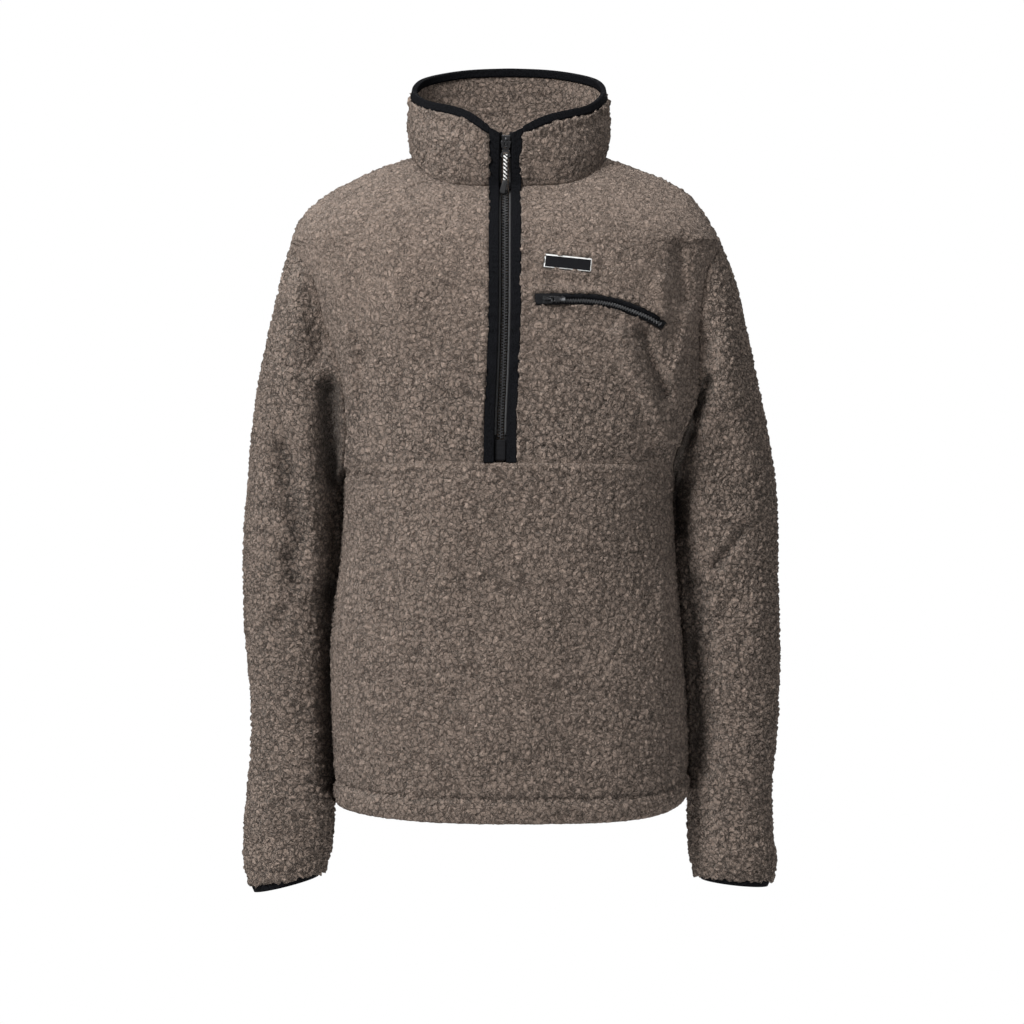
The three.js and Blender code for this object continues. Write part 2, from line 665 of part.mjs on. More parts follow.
function sleeve(side, table, folds) {
  const at = Object.fromEntries(table.columns.slice(1).map((n) => [n, curve(table, n)]));
  const loop = armholeLoop(side);
  const count = loop.length;
  const frame = (s) => {
    const out = V(side * at.outX(s), at.mid(s), at.outZ(s));
    const inn = V(side * at.inX(s), at.mid(s), at.inZ(s));
    const centre = out.clone().add(inn).multiplyScalar(0.5);
    const across = out.sub(inn).multiplyScalar(0.5);
    return { centre, across, front: V(0, -at.depth(s), 0) };
  };
  const start = frame(0);
  const angles = loop.map(({ p }, k) => {
    const d = p.clone().sub(start.centre);
    const c = d.dot(start.across) / start.across.lengthSq();
    const angle = Math.atan2(-d.y / at.depth(0), c);
    if (k === 0) return 0;
    return angle < 0 ? angle + 2 * Math.PI : angle;
  });
  const even = angles.map((_, k) => (k / count) * 2 * Math.PI);
  const tube = (s, angle) => {
    const f = frame(s);
    return f.centre
      .addScaledVector(f.across, Math.cos(angle))
      .addScaledVector(f.front, Math.sin(angle));
  };
  const tubeNormal = (s, angle) => {
    const [s0, s1] = [Math.max(s - 0.08, 0), Math.min(s + 0.08, LAST_STEP)];
    const along = tube(s1, angle).sub(tube(s0, angle));
    const round = tube(s, angle + 0.02).sub(tube(s, angle - 0.02));
    return along.cross(round).multiplyScalar(-side).normalize();
  };
  const surface = (s, k) => {
    const angle = mix(angles[k], even[k], smooth(s, 0, 5));
    const p = tube(s, angle);
    const off = loop[k].p.clone().sub(tube(0, angles[k]));
    const inside = ((1 - Math.cos(angle)) / 2) ** 2;
    p.addScaledVector(off, Math.max(0, 1 - s / mix(3.2, 0.9, inside)) ** 2);
    const turn = THREE.MathUtils.radToDeg(angle);
    const height = foldHeight(folds, s, turn, 45, 0.85) * smooth(s, 0, 0.8);
    return onward(p, tubeNormal(s, angle), height * (1 - smooth(s, 13.2, 13.9)));
  };
  const grid = SLEEVE_STEPS.map((s, r) =>
    loop.map((_, k) => {
      const p = surface(s, k);
      const ahead = surface(Math.min(s + 0.1, LAST_STEP), k).sub(surface(Math.max(s - 0.1, 0), k));
      const roundK = surface(s, (k + 1) % count).sub(surface(s, (k + count - 1) % count));
      const n = ahead.cross(roundK).multiplyScalar(-side).normalize();
      const cuff = r >= SLEEVE_STEPS.length - 2;
      const outer = onward(p, n, cuff ? -BIND_DIP : 0);
      const thick = cuff ? EDGE_WALL : WALL;
      const inner = r ? onward(outer, n, -thick) : onward(outer, loop[k].inward, WALL * 0.9);
      return { outer, inner, normal: n };
    }),
  );
  grid[0].forEach((a, k) => {
    const inside = ((1 - Math.cos(even[k])) / 2) ** 4;
    for (const p of [a.outer, a.inner]) p.x += side * (GAP * 1.6 + inside);
  });
  return grid;
}
const sleeves = {
  left: sleeve(1, SLEEVE_LEFT, SLEEVE_FOLDS_LEFT),
  right: sleeve(-1, SLEEVE_RIGHT, SLEEVE_FOLDS_RIGHT),
};
add("sleeve_left", asWall(sleeves.left, true), FLEECE);
add("sleeve_right", asWall(sleeves.right, true), FLEECE);

// The collar band: its columns are the neckline points from one placket edge round to the other.
function collarGrid() {
  const top = (grid) => grid[grid.length - 1];
  const base = [
    ...top(yokes.left).slice(0, -1),
    ...top(back),
    ...top(yokes.right).slice(0, -1).reverse(),
  ];
  const frontCount = YOKE_COLS;
  const rim = Object.fromEntries(RIM.columns.slice(1).map((n) => [n, curve(RIM, n)]));
  const spots = base.map((s, c) => {
    let share;
    if (c < frontCount) share = (0.5 * c) / frontCount;
    else if (c <= frontCount + BACK_COLS) share = 0.5 + (c - frontCount) / BACK_COLS;
    else share = 1.5 + (0.5 * (c - frontCount - BACK_COLS)) / frontCount;
    const near = share > 1 ? 2 - share : share;
    const side = share > 1 ? -1 : 1;
    const fromEdge = Math.min(c, base.length - 1 - c);
    const z = side < 0 ? rim.rightZ(near) : rim.leftZ(near);
    let x = side < 0 ? -rim.rightX(near) : rim.leftX(near);
    if (fromEdge < 2) x = zipX(z) + side * (ZIP_HALF_GAP + fromEdge * PLACKET_LEG);
    return { base: s.outer, rim: V(near === 1 ? 0 : x, rim.y(near), z) };
  });
  const levels = Array.from({ length: COLLAR_ROWS }, (_, k) => k / (COLLAR_ROWS - 1));
  const point = (c, w) => {
    const { base: a, rim: b } = spots[c];
    const p = a.clone().lerp(b, w);
    const out = V(p.x, p.y, 0).normalize();
    const share = c > 1 && c < spots.length - 2 ? 1 : 0.4;
    return onward(p, out, COLLAR_BULGE * share * Math.sin(Math.PI * w));
  };
  const leg = (c) => 1 - RIM_LEG / spots[c].base.distanceTo(spots[c].rim);
  const heights = (c) => {
    const reach = (leg(c) * (COLLAR_ROWS - 1)) / (COLLAR_ROWS - 2);
    return [...levels.slice(0, -1).map((w) => w * reach), 1];
  };
  const last = spots.length - 1;
  const grid = levels.map((_, r) =>
    spots.map((__, c) => {
      const w = heights(c)[r];
      const p = point(c, w);
      const [c0, c1] = [Math.max(c - 1, 0), Math.min(c + 1, last)];
      const across = point(c1, w).sub(point(c0, w));
      const up = point(c, Math.min(w + 0.05, 1)).sub(point(c, Math.max(w - 0.05, 0)));
      const n = across.cross(up).normalize();
      const edge = c === 0 || c === last;
      const nearEdge = c === 1 || c === last - 1;
      const rimRow = r >= levels.length - 2;
      let thick = WALL;
      let dip = 0;
      if (rimRow || nearEdge) [thick, dip] = [EDGE_WALL + 0.4, BIND_DIP * 0.8];
      if (edge) [thick, dip] = [EDGE_WALL, BIND_DIP];
      if (r === 0) dip = 0;
      const outer = onward(p, n, -dip);
      return { outer, inner: onward(outer, n, -thick), normal: n };
    }),
  );
  grid[0].forEach((a) => {
    for (const p of [a.outer, a.inner]) p.z += GAP * 1.2;
  });
  return grid;
}
const collar = collarGrid();
add("collar", asWall(collar), FLEECE);

// A folded strip over an edge: outer leg, fold and inner leg, from edge spots and leg spots.
function bindingLoop(edge, leg) {
  const into = leg.outer.clone().sub(edge.outer).normalize();
  const [near, far] = [BIND_GAP, BIND_GAP + BIND_THICK];
  const [e, l] = [edge.normal, leg.normal];
  return [
    onward(leg.outer, l, far),
    onward(onward(edge.outer, e, far), into, -far),
    onward(onward(edge.inner, e, -far), into, -far),
    onward(leg.inner, l, -far),
    onward(leg.inner, l, -near),
    onward(onward(edge.inner, e, -near), into, -near),
    onward(onward(edge.outer, e, near), into, -near),
    onward(leg.outer, l, near),
  ];
}
const lastOf = (grid) => grid[grid.length - 1];
for (const [name, grid] of Object.entries(sleeves)) {
  const edge = lastOf(grid);
  const leg = grid[grid.length - 2];
  const loops = edge.map((s, k) => bindingLoop(s, leg[k]));
  add("cuff_binding_" + name, bar(loops, true), BLACK_KNIT);
}
const rimEdge = lastOf(collar);
const rimLeg = collar[collar.length - 2];
// A spot a little way from one spot towards the next.
function between(a, b, distance) {
  const s = distance / a.outer.distanceTo(b.outer);
  return {
    outer: a.outer.clone().lerp(b.outer, s),
    inner: a.inner.clone().lerp(b.inner, s),
    normal: a.normal.clone().lerp(b.normal, s).normalize(),
  };
}
const RIM_START = 1.6; // the rim binding starts beside the placket binding
const rimLoops = rimEdge.map((s, k) => bindingLoop(s, rimLeg[k])).slice(1, -1);
for (const [end, next] of [[1, 2], [rimEdge.length - 2, rimEdge.length - 3]]) {
  const loop = bindingLoop(
    between(rimEdge[end], rimEdge[next], RIM_START),
    between(rimLeg[end], rimLeg[next], RIM_START),
  );
  rimLoops[end === 1 ? 0 : rimLoops.length - 1] = loop;
}
add("collar_binding", bar(rimLoops), BLACK_KNIT);

// The front edge of one side, from the cross seam up over yoke and collar.
function frontRows(side) {
  const name = side > 0 ? "left" : "right";
  const pick = (row) => (side > 0 ? [row[0], row[1]] : [row[row.length - 1], row[row.length - 2]]);
  const yokeRows = yokes[name].map((row) => [row[0], row[1]]);
  const seam = lastOf(yokeRows).map((a, k) => {
    const b = pick(collar[0])[k];
    const normal = a.normal.clone().add(b.normal).normalize();
    const inner = a.inner.clone().lerp(b.inner, 0.5);
    return { outer: a.outer.clone().lerp(b.outer, 0.5), inner: onward(inner, normal, -1), normal };
  });
  return [...yokeRows.slice(0, -1), seam, ...collar.slice(1).map(pick)];
}
const edges = { left: frontRows(1), right: frontRows(-1) };
for (const [name, rows] of Object.entries(edges)) {
  const loops = rows.map(([edge, leg]) => bindingLoop(edge, leg));
  add("placket_binding_" + name, bar(loops), BLACK_KNIT);
}

// The middle line of the zip between the two edges, with its outward direction.
const zipRows = edges.left.map(([a], k) => {
  const b = edges.right[k][0];
  const across = a.outer.clone().sub(b.outer).normalize();
  const n = a.normal.clone().add(b.normal).normalize();
  const square = n.addScaledVector(across, -n.dot(across)).normalize();
  return { p: a.outer.clone().add(b.outer).multiplyScalar(0.5), across, n: square };
});
// A spot of the zip line at a height.
function zipAt(z) {
  let k = 0;
  while (k < zipRows.length - 2 && zipRows[k + 1].p.z < z) k++;
  const [a, b] = [zipRows[k], zipRows[k + 1]];
  const s = (z - a.p.z) / (b.p.z - a.p.z);
  return {
    p: a.p.clone().lerp(b.p, s),
    across: a.across.clone().lerp(b.across, s).normalize(),
    n: a.n.clone().lerp(b.n, s).normalize(),
  };
}
// A flat strip along the zip line between two distances from it and two depths.
function zipStrip(rows, from, to, top, bottom) {
  const loops = rows.map(({ p, across, n }) => [
    onward(onward(p, across, from), n, -top),
    onward(onward(p, across, to), n, -top),
    onward(onward(p, across, to), n, -bottom),
    onward(onward(p, across, from), n, -bottom),
  ]);
  return bar(loops);
}
const tapeRows = zipRows.filter(({ p }) => p.z < SLIDER.z - 4);
const tapeBottom = TAPE.depth + TAPE.thick;
add("zip_tape_left", zipStrip(zipRows, TAPE.inner, TAPE.outer, TAPE.depth, tapeBottom), BLACK_ZIP);
add("zip_tape_right", zipStrip(zipRows, -TAPE.outer, -TAPE.inner, TAPE.depth, tapeBottom), BLACK_ZIP);
const chainRows = [zipAt(ZIP_END_Z), ...tapeRows.filter(({ p }) => p.z > ZIP_END_Z + 2)];
const chainTop = CHAIN.depth - CHAIN.thick / 2;
const chainBottom = CHAIN.depth + CHAIN.thick / 2;
add("zip_chain", zipStrip(chainRows, -CHAIN.half, CHAIN.half, chainTop, chainBottom), BLACK_ZIP);

// Boolean union of closed geometries.
const wasm = await Module();
wasm.setup();
function solid(geo) {
  const flat = geo.index ? geo.toNonIndexed() : geo;
  const bare = new THREE.BufferGeometry().setAttribute("position", flat.attributes.position);
  const merged = mergeVertices(bare, 1e-4);
  const mesh = new wasm.Mesh({
    numProp: 3,
    vertProperties: merged.attributes.position.array,
    triVerts: new Uint32Array(merged.index.array),
  });
  return new wasm.Manifold(mesh);
}
function joined(...geos) {
  const mesh = geos.map(solid).reduce((a, b) => a.add(b)).getMesh();
  const g = new THREE.BufferGeometry();
  g.setAttribute("position", new THREE.Float32BufferAttribute(mesh.vertProperties, 3));
  g.setIndex(Array.from(mesh.triVerts));
  g.computeVertexNormals();
  return g;
}

// Moves a piece drawn as x across, y along and z outwards to its place.
function place(geo, origin, along, out) {
  const y = along.clone().normalize();
  const z = out.clone().addScaledVector(y, -out.dot(y)).normalize();
  const basis = new THREE.Matrix4().makeBasis(y.clone().cross(z), y, z).setPosition(origin);
  return geo.clone().applyMatrix4(basis);
}
const outline = (points) => new THREE.Shape(points.map(([x, y]) => new THREE.Vector2(x, y)));
const plate = (shape, depth) =>
  new THREE.ExtrudeGeometry(shape, { depth, bevelEnabled: false, curveSegments: 4 });

// Slider in its own frame: y runs towards the free end of the pull, z = 0 is its top plate.
function sliderShape({ wide, long, high }) {
  const [w, web] = [wide / 2, 2.7];
  const [top, low, foot] = [1.5, high, high + 1.4];
  const profile = outline([
    [-w, 0], [-w, -top], [-web, -top], [-web, -low], [-w, -low], [-w, -foot],
    [w, -foot], [w, -low], [web, -low], [web, -top], [w, -top], [w, 0],
  ]);
  const trunk = plate(profile, long).rotateX(Math.PI / 2).translate(0, long / 2, 0);
  const [span, leg, rise] = [2.5, 1.3, 2.9];
  const arch = outline([
    [-span - leg, -0.6], [-span - leg, rise], [-span, rise + leg], [span, rise + leg], [span + leg, rise],
    [span + leg, -0.6], [span, -0.6], [span, rise - 0.4], [span - 0.6, rise], [0.6 - span, rise],
    [-span, rise - 0.4], [-span, -0.6],
  ]);
  const bridge = plate(arch, 1.7).rotateY(Math.PI / 2).rotateX(Math.PI / 2).translate(-0.85, 0, 0);
  return { trunk, bridge };
}

// Pull tab: a flat waisted plate with a hinge hole at one end and a slot at the other.
const HINGE_RISE = 1.6;
const HINGE_BAR = 0.75;
function pullerShape({ wide, waist, long, thick }, slotWide) {
  const [w, v] = [wide / 2, waist / 2];
  const [high, low] = [long * 0.42, long * 0.6];
  const shape = outline([
    [-w + 1, -HINGE_BAR], [w - 1, -HINGE_BAR], [w, 0.4], [v, high], [v, low], [w, long - 1.6],
    [w - 1.2, long], [1.2 - w, long], [-w, long - 1.6], [-v, low], [-v, high], [-w, 0.4],
  ]);
  shape.holes.push(new THREE.Path([[-1.7, HINGE_BAR], [1.7, HINGE_BAR], [1.7, 6.2], [-1.7, 6.2]].map(
    ([x, y]) => new THREE.Vector2(x, y))));
  if (slotWide) {
    const [s, from, to] = [slotWide / 2, long - 4.6, long - 1.3];
    shape.holes.push(new THREE.Path([[-s, from], [s, from], [s, to], [-s, to]].map(
      ([x, y]) => new THREE.Vector2(x, y))));
  }
  return plate(shape, thick).translate(0, 0, HINGE_RISE - thick / 2);
}

const head = zipAt(SLIDER.z);
const headDown = zipAt(SLIDER.z - 20).p.clone().sub(head.p).normalize();
const headTop = onward(head.p, head.n, -TAPE.depth + SLIDER.high / 2 + 0.8);
const zipHead = sliderShape(SLIDER);
add("zip_slider", place(joined(zipHead.trunk, zipHead.bridge), headTop, headDown, head.n), BLACK_METAL);
add("zip_puller", place(pullerShape(PULL, PULL.slot), headTop, headDown, head.n), BLACK_METAL);

// The cord loops through the slot of the tab and holds the plastic end.
const slotMid = PULL.long - 0.7;
const strand = PULL.thick / 2 + 0.9;
const cordEnd = PULL.long + PULL.cordLong;
const loopPath = new THREE.CatmullRomCurve3([
  V(0, cordEnd, HINGE_RISE + 4.8),
  V(0, cordEnd - 6, HINGE_RISE + 4.6),
  V(0, PULL.long + 3, HINGE_RISE + strand + 1.6),
  V(0, slotMid + 0.4, HINGE_RISE + strand + 0.3),
  V(0, slotMid - 2.2, HINGE_RISE),
  V(0, slotMid + 0.4, HINGE_RISE - strand - 0.3),
  V(0, PULL.long + 3, HINGE_RISE - strand + 1.3),
  V(0, cordEnd - 6, HINGE_RISE + 2.8),
  V(0, cordEnd, HINGE_RISE + 3.2),
]);
const [cw, ct] = [PULL.cordWide / 2, PULL.cordThick / 2];
const cordShape = outline([[-cw, -ct], [cw, -ct], [cw, ct], [-cw, ct]]);
const cord = new THREE.ExtrudeGeometry(cordShape, { steps: 28, extrudePath: loopPath, bevelEnabled: false });
add("pull_cord", place(cord, headTop, headDown, head.n), { color: 0x55565a, roughness: 0.8 });
const endHalfTop = PULL.endTop / 2;
const [endFrom, endTo] = [PULL.endLean - PULL.endWide / 2, PULL.endLean + PULL.endWide / 2];
const endShape = outline([
  [-endHalfTop, 0], [endHalfTop, 0], [endTo, PULL.endLong - 1.6], [endTo - 0.8, PULL.endLong - 0.6],
  [endFrom + 0.8, PULL.endLong], [endFrom, PULL.endLong - 1],
]);
const endPiece = plate(endShape, PULL.endThick).translate(0, cordEnd + GAP, HINGE_RISE + 2.6);
add("pull_end", place(endPiece, headTop, headDown, head.n), { color: 0x151516, roughness: 0.45 });

// The square tape that closes the lower end of the zip, on top of the two tapes.
const endRows = [zipAt(CROSS_Z + 6.5), zipAt(ZIP_END_Z - 6), zipAt(ZIP_END_Z - GAP * 2)];
const endHalf = ZIP_HALF_GAP - BIND_GAP - BIND_THICK - GAP * 2;
const [endTop, endBottom] = [TAPE.depth - 3.4, TAPE.depth - GAP];
add("placket_end_tape", zipStrip(endRows, -endHalf, endHalf, endTop, endBottom), BLACK_KNIT);

// The point and direction of the outer side of a panel behind a place in the front view.
function onPanel(grid, x, z) {
  for (let r = 0; r < grid.length - 1; r++)
    for (let c = 0; c < grid[0].length - 1; c++) {
      const q = [grid[r][c], grid[r][c + 1], grid[r + 1][c + 1], grid[r + 1][c]].map((s) => s.outer);
      for (const [a, b, d] of [[q[0], q[1], q[2]], [q[0], q[2], q[3]]]) {
        const area = (b.x - a.x) * (d.z - a.z) - (b.z - a.z) * (d.x - a.x);
        const u = ((x - a.x) * (d.z - a.z) - (z - a.z) * (d.x - a.x)) / area;
        const v = ((b.x - a.x) * (z - a.z) - (b.z - a.z) * (x - a.x)) / area;
        if (u < -1e-9 || v < -1e-9 || u + v > 1 + 1e-9) continue;
        const y = a.y + u * (b.y - a.y) + v * (d.y - a.y);
        const n = b.clone().sub(a).cross(d.clone().sub(a)).normalize();
        return { p: V(x, y, z), n: n.y < 0 ? n : n.negate() };
      }
    }
  throw new Error("no panel behind " + x + " " + z);
}
// A strip laid on the chest: stations are a middle and a direction across, both in the front view.
function laidStrip(stations, offsets, lift, thick) {
  return bar(
    stations.map(({ x, z, ax, az }) => {
      const spots = offsets.map((d) => onPanel(yokes.left, x + ax * d, z + az * d));
      const mean = spots.reduce((n, s) => n.add(s.n), V(0, 0, 0)).normalize();
      const top = spots.map((s) => onward(s.p, mean, lift + thick));
      return [...top, ...spots.map((s) => onward(s.p, mean, lift)).reverse()];
    }),
  );
}
const pocketZ = curve(POCKET_LINE, "z");
function pocketStations(from, to, count) {
  return Array.from({ length: count + 1 }, (_, k) => {
    const x = mix(from, to, k / count);
    const slope = (pocketZ(x + 1) - pocketZ(x - 1)) / 2;
    const long = Math.hypot(1, slope);
    return { x, z: pocketZ(x), ax: -slope / long, az: 1 / long };
  });
}
const bandHalf = POCKET.wide / 2;
const bandOffsets = [-bandHalf, 0, bandHalf];
add(
  "pocket_zip_band",
  laidStrip(pocketStations(POCKET.fromX, POCKET.toX, 16), bandOffsets, POCKET.lift, POCKET.thick),
  BLACK_ZIP,
);
const chainLift = POCKET.lift + POCKET.thick + GAP;
const chainStations = pocketStations(POCKET.chainFromX, POCKET.toX - 3, 14);
const chainOffsets = [-0.6 - POCKET.chainWide, -0.6];
add(
  "pocket_chain",
  laidStrip(chainStations, chainOffsets, chainLift, POCKET.chainThick),
  BLACK_ZIP,
);
const pocketSpot = onPanel(yokes.left, POCKET.sliderX, pocketZ(POCKET.sliderX) - 1.5);
const pocketAhead = onPanel(yokes.left, POCKET.sliderX + 14, pocketZ(POCKET.sliderX + 14) - 1.5);
const pocketAlong = pocketAhead.p.clone().sub(pocketSpot.p);
const pocketHead = sliderShape({ wide: 7, long: 9, high: 1.5 });
const sliderBase = onward(pocketSpot.p, pocketSpot.n, chainLift + 3.2);
add(
  "pocket_slider",
  place(joined(pocketHead.trunk, pocketHead.bridge), sliderBase, pocketAlong, pocketSpot.n),
  BLACK_METAL,
);
const pocketPuller = pullerShape({ wide: 5.6, waist: 5, long: POCKET.pullLong, thick: 1.4 }, 0);
add("pocket_puller", place(pocketPuller, sliderBase, pocketAlong, pocketSpot.n), BLACK_METAL);

// The bare woven patch above the pocket.
const tilt = rad(LABEL.tilt);
const labelStations = Array.from({ length: 5 }, (_, k) => {
  const d = LABEL.wide * (k / 4 - 0.5);
  const x = LABEL.x + d * Math.cos(tilt);
  const z = LABEL.z + d * Math.sin(tilt);
  return { x, z, ax: -Math.sin(tilt), az: Math.cos(tilt) };
});
const labelOffsets = [-LABEL.high / 2, 0, LABEL.high / 2];
add("label_patch", laidStrip(labelStations, labelOffsets, POCKET.lift, LABEL.thick), BLACK_KNIT);

export default pullover;
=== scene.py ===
import math

import bmesh
import bpy
import numpy as np
from mathutils import Matrix, Vector
from mathutils.bvhtree import BVHTree
from mathutils.kdtree import KDTree


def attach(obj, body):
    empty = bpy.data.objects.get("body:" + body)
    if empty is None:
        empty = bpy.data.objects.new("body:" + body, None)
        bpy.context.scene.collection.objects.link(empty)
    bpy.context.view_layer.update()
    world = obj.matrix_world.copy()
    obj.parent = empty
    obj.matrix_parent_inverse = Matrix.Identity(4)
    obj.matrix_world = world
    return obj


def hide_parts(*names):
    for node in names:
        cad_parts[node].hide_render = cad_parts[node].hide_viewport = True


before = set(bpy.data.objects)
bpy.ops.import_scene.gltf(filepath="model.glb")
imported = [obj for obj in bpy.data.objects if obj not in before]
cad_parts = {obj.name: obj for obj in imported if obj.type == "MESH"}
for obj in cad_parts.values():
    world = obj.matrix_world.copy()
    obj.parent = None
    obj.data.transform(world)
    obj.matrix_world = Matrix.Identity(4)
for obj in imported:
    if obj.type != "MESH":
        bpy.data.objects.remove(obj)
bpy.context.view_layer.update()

MM = 0.001
OUTER, INNER, RIM = 0, 1, 2


# Camera: level, square in front of the chest

EYE = (0.003, -3.0, -0.342)
FIELD = 1.024
SENSOR = 36.0


def set_camera():
    lens = bpy.data.cameras.new("camera")
    lens.sensor_fit = "HORIZONTAL"
    lens.sensor_width = SENSOR
    lens.lens = SENSOR * -EYE[1] / FIELD
    camera = bpy.data.objects.new("camera", lens)
    camera.location = EYE
    camera.rotation_euler = (math.radians(90), 0, 0)
    bpy.context.collection.objects.link(camera)
    bpy.context.scene.camera = camera


set_camera()


# Finishes

class Value:
    """A number that changes over the surface, with the sums that a finish needs."""

    def __init__(self, tree, socket):
        self.tree = tree
        self.socket = socket

    def sum(self, operation, first, second=None):
        node = self.tree.nodes.new("ShaderNodeMath")
        node.operation = operation
        for place, term in enumerate((first, second)):
            if isinstance(term, Value):
                self.tree.links.new(term.socket, node.inputs[place])
            elif term is not None:
                node.inputs[place].default_value = term
        return Value(self.tree, node.outputs[0])

    def __add__(self, other):
        return self.sum("ADD", self, other)

    def __radd__(self, other):
        return self.sum("ADD", other, self)

    def __sub__(self, other):
        return self.sum("SUBTRACT", self, other)

    def __rsub__(self, other):
        return self.sum("SUBTRACT", other, self)

    def __mul__(self, other):
        return self.sum("MULTIPLY", self, other)

    def __rmul__(self, other):
        return self.sum("MULTIPLY", other, self)

    def __truediv__(self, other):
        return self.sum("DIVIDE", self, other)

    def __rtruediv__(self, other):
        return self.sum("DIVIDE", other, self)

    def __pow__(self, other):
        return self.sum("POWER", self, other)

    def __abs__(self):
        return self.sum("ABSOLUTE", self)

    def above(self, other):
        return self.sum("GREATER_THAN", self, other)

    def larger(self, other):
        return self.sum("MAXIMUM", self, other)

    def wave(self):
        """A sine wave from 0 to 1."""
        return self.sum("SINE", self) * 0.5 + 0.5


class Nodes:
    """The nodes of a material or of the surround."""

    def __init__(self, tree):
        self.tree = tree

    def node(self, kind, settings=None, values=None, output=0):
        made = self.tree.nodes.new("ShaderNode" + kind)
        for name, setting in (settings or {}).items():
            if name == "stops":
                ramp = made.color_ramp.elements
                while len(ramp) < len(setting):
                    ramp.new(0.5)
                for element, (place, colour) in zip(ramp, setting):
                    element.position = place
                    element.color = (*colour, 1)
            else:
                setattr(made, name, setting)
        for name, value in (values or {}).items():
            self.feed(made.inputs[name], value)
        return Value(self.tree, made.outputs[output])

    def feed(self, socket, value):
        if isinstance(value, Value):
            self.tree.links.new(value.socket, socket)
        elif isinstance(value, tuple) and socket.type == "RGBA":
            socket.default_value = (*value, 1)
        else:
            socket.default_value = value

    def eased(self, value, low, high):
        """0 at the low value, rising softly to 1 at the high one."""
        return self.node("MapRange", {"interpolation_type": "SMOOTHSTEP"},
                         {"Value": value, "From Min": low, "From Max": high})


class Finish(Nodes):
    """A material under construction."""

    def __init__(self, name, roughness, specular, metallic=0.0, coat=0.0, sheen=0.0, sheen_tint=(1, 1, 1)):
        self.material = bpy.data.materials.new(name)
        self.material.use_nodes = True
        super().__init__(self.material.node_tree)
        self.shader = self.tree.nodes["Principled BSDF"]
        self.set("Roughness", roughness)
        self.set("Specular IOR Level", specular)
        self.set("Metallic", metallic)
        self.set("Coat Weight", coat)
        self.set("Sheen Weight", sheen)
        self.set("Sheen Tint", sheen_tint)

    def set(self, name, value):
        self.feed(self.shader.inputs[name], value)

    def place(self):
        return self.node("TexCoord", output="Object")

    def axes(self, vector):
        split = self.node("SeparateXYZ", {}, {0: vector})
        return [Value(self.tree, output) for output in split.socket.node.outputs]

    def noise(self, vector, scale, detail=2.0, rough=0.5):
        return self.node("TexNoise", {}, {"Vector": vector, "Scale": scale, "Detail": detail,
                                          "Roughness": rough})

    def painted(self, name):
        return self.node("Attribute", {"attribute_name": name}, output="Fac")

    def vector_sum(self, operation, first, second):
        return self.node("VectorMath", {"operation": operation}, {0: first, 1: second})

    def ramp(self, value, *stops):
        return self.node("ValToRGB", {"stops": stops}, {"Fac": value})

    def mix(self, factor, first, second):
        return self.node("Mix", {"data_type": "RGBA"}, {0: factor, 6: first, 7: second}, 2)

    def bump(self, height, strength, depth):
        made = self.node("Bump", {}, {"Height": height, "Strength": strength, "Distance": depth})
        self.set("Normal", made)


# Linear colours of the pile by its tone, from painted shade in the crevices up to painted light on the tips
# of the curls
PILE_PAINTED_SHADE_AND_LIGHT = (
    (0.08, (0.0150, 0.0105, 0.0083)),
    (0.40, (0.088, 0.0655, 0.0530)),
    (0.68, (0.217, 0.166, 0.136)),
    (1.0, (0.345, 0.273, 0.228)),
)
PILE_SHEEN = (0.80, 0.70, 0.62)

# Sizes of the pile's layers, as cells in a metre
CURL_CELLS = 178
SMALL_CELLS = 310
FURROW_CELLS = 250
COMBED_CELLS = 330
GRAIN_CELLS = 800
CLOUD_CELLS = 28
CREVICE_CELLS = 85
# How far the layers are bent, and the cells in a metre of what bends them
BEND, FINE_BEND = (9.5 * MM, 120), (4.2 * MM, 430)

# How much each layer says in the tone of curly and of brushed pile, with what is added to the sum; crevices
# and furrows give painted shade and raised curls painted light
CURLY = {"wide": 0.48, "furrow": 0.32, "small": 0.06, "raised": 0.26, "added": -0.25}
BRUSHED = {"wide": 0.22, "furrow": 0.34, "small": 0.12, "raised": 0.14, "added": -0.01}
# Grain and cloud are the pile's own uneven tone; the third darkens the pile deep in the creases' hollows as
# painted shade
GRAIN_TONE, CLOUD_TONE, HOLLOW_PAINTED_SHADE = 0.24, 0.12, 0.42
# Crevices widen in the creases' hollows where the pile opens, and their dark tone adds painted shade there
CREVICE_SPREAD, CREVICE_DEEP, CREVICE_LEAST = 0.40, 0.15, 0.04
COMB = (1.0, 1.0, 0.55)
WIDE_RELIEF, FURROW_RELIEF, SMALL_RELIEF, GRAIN_RELIEF = 0.6, 0.3, 0.22, 0.28
BRUSHED_DOWN = 0.7
SMALL_BORDER = 0.24
FURROW_WIDTH = 0.05


def bent_place(made, place, amount, scale):
    """The place shifted by noise, so that the curls lose their straight borders."""
    wander = made.node("TexNoise", {}, {"Vector": place, "Scale": scale, "Detail": 2.0}, output=1)
    wander = made.vector_sum("SUBTRACT", wander, (0.5, 0.5, 0.5))
    wander = made.vector_sum("MULTIPLY", wander, (amount,) * 3)
    return made.vector_sum("ADD", place, wander)


def curl_borders(made, place, cells):
    """Distance to the border between curls, in curl widths."""
    return made.node("TexVoronoi", {"feature": "DISTANCE_TO_EDGE"}, {"Vector": place, "Scale": cells})


def furrows(made, place, cells, rough):
    """0 along thin winding furrows and 1 between them."""
    return made.eased(abs(made.noise(place, cells, 2.0, rough) - 0.5), 0.0, FURROW_WIDTH)


# Tone of the pile from its layers: painted shade in the crevices and furrows, painted light on the raised
# curls
def pile_tone(shares, wide, furrow, small, raised):
    tone = wide * shares["wide"] + furrow * shares["furrow"] + small * shares["small"]
    return tone + raised * shares["raised"] + shares["added"]


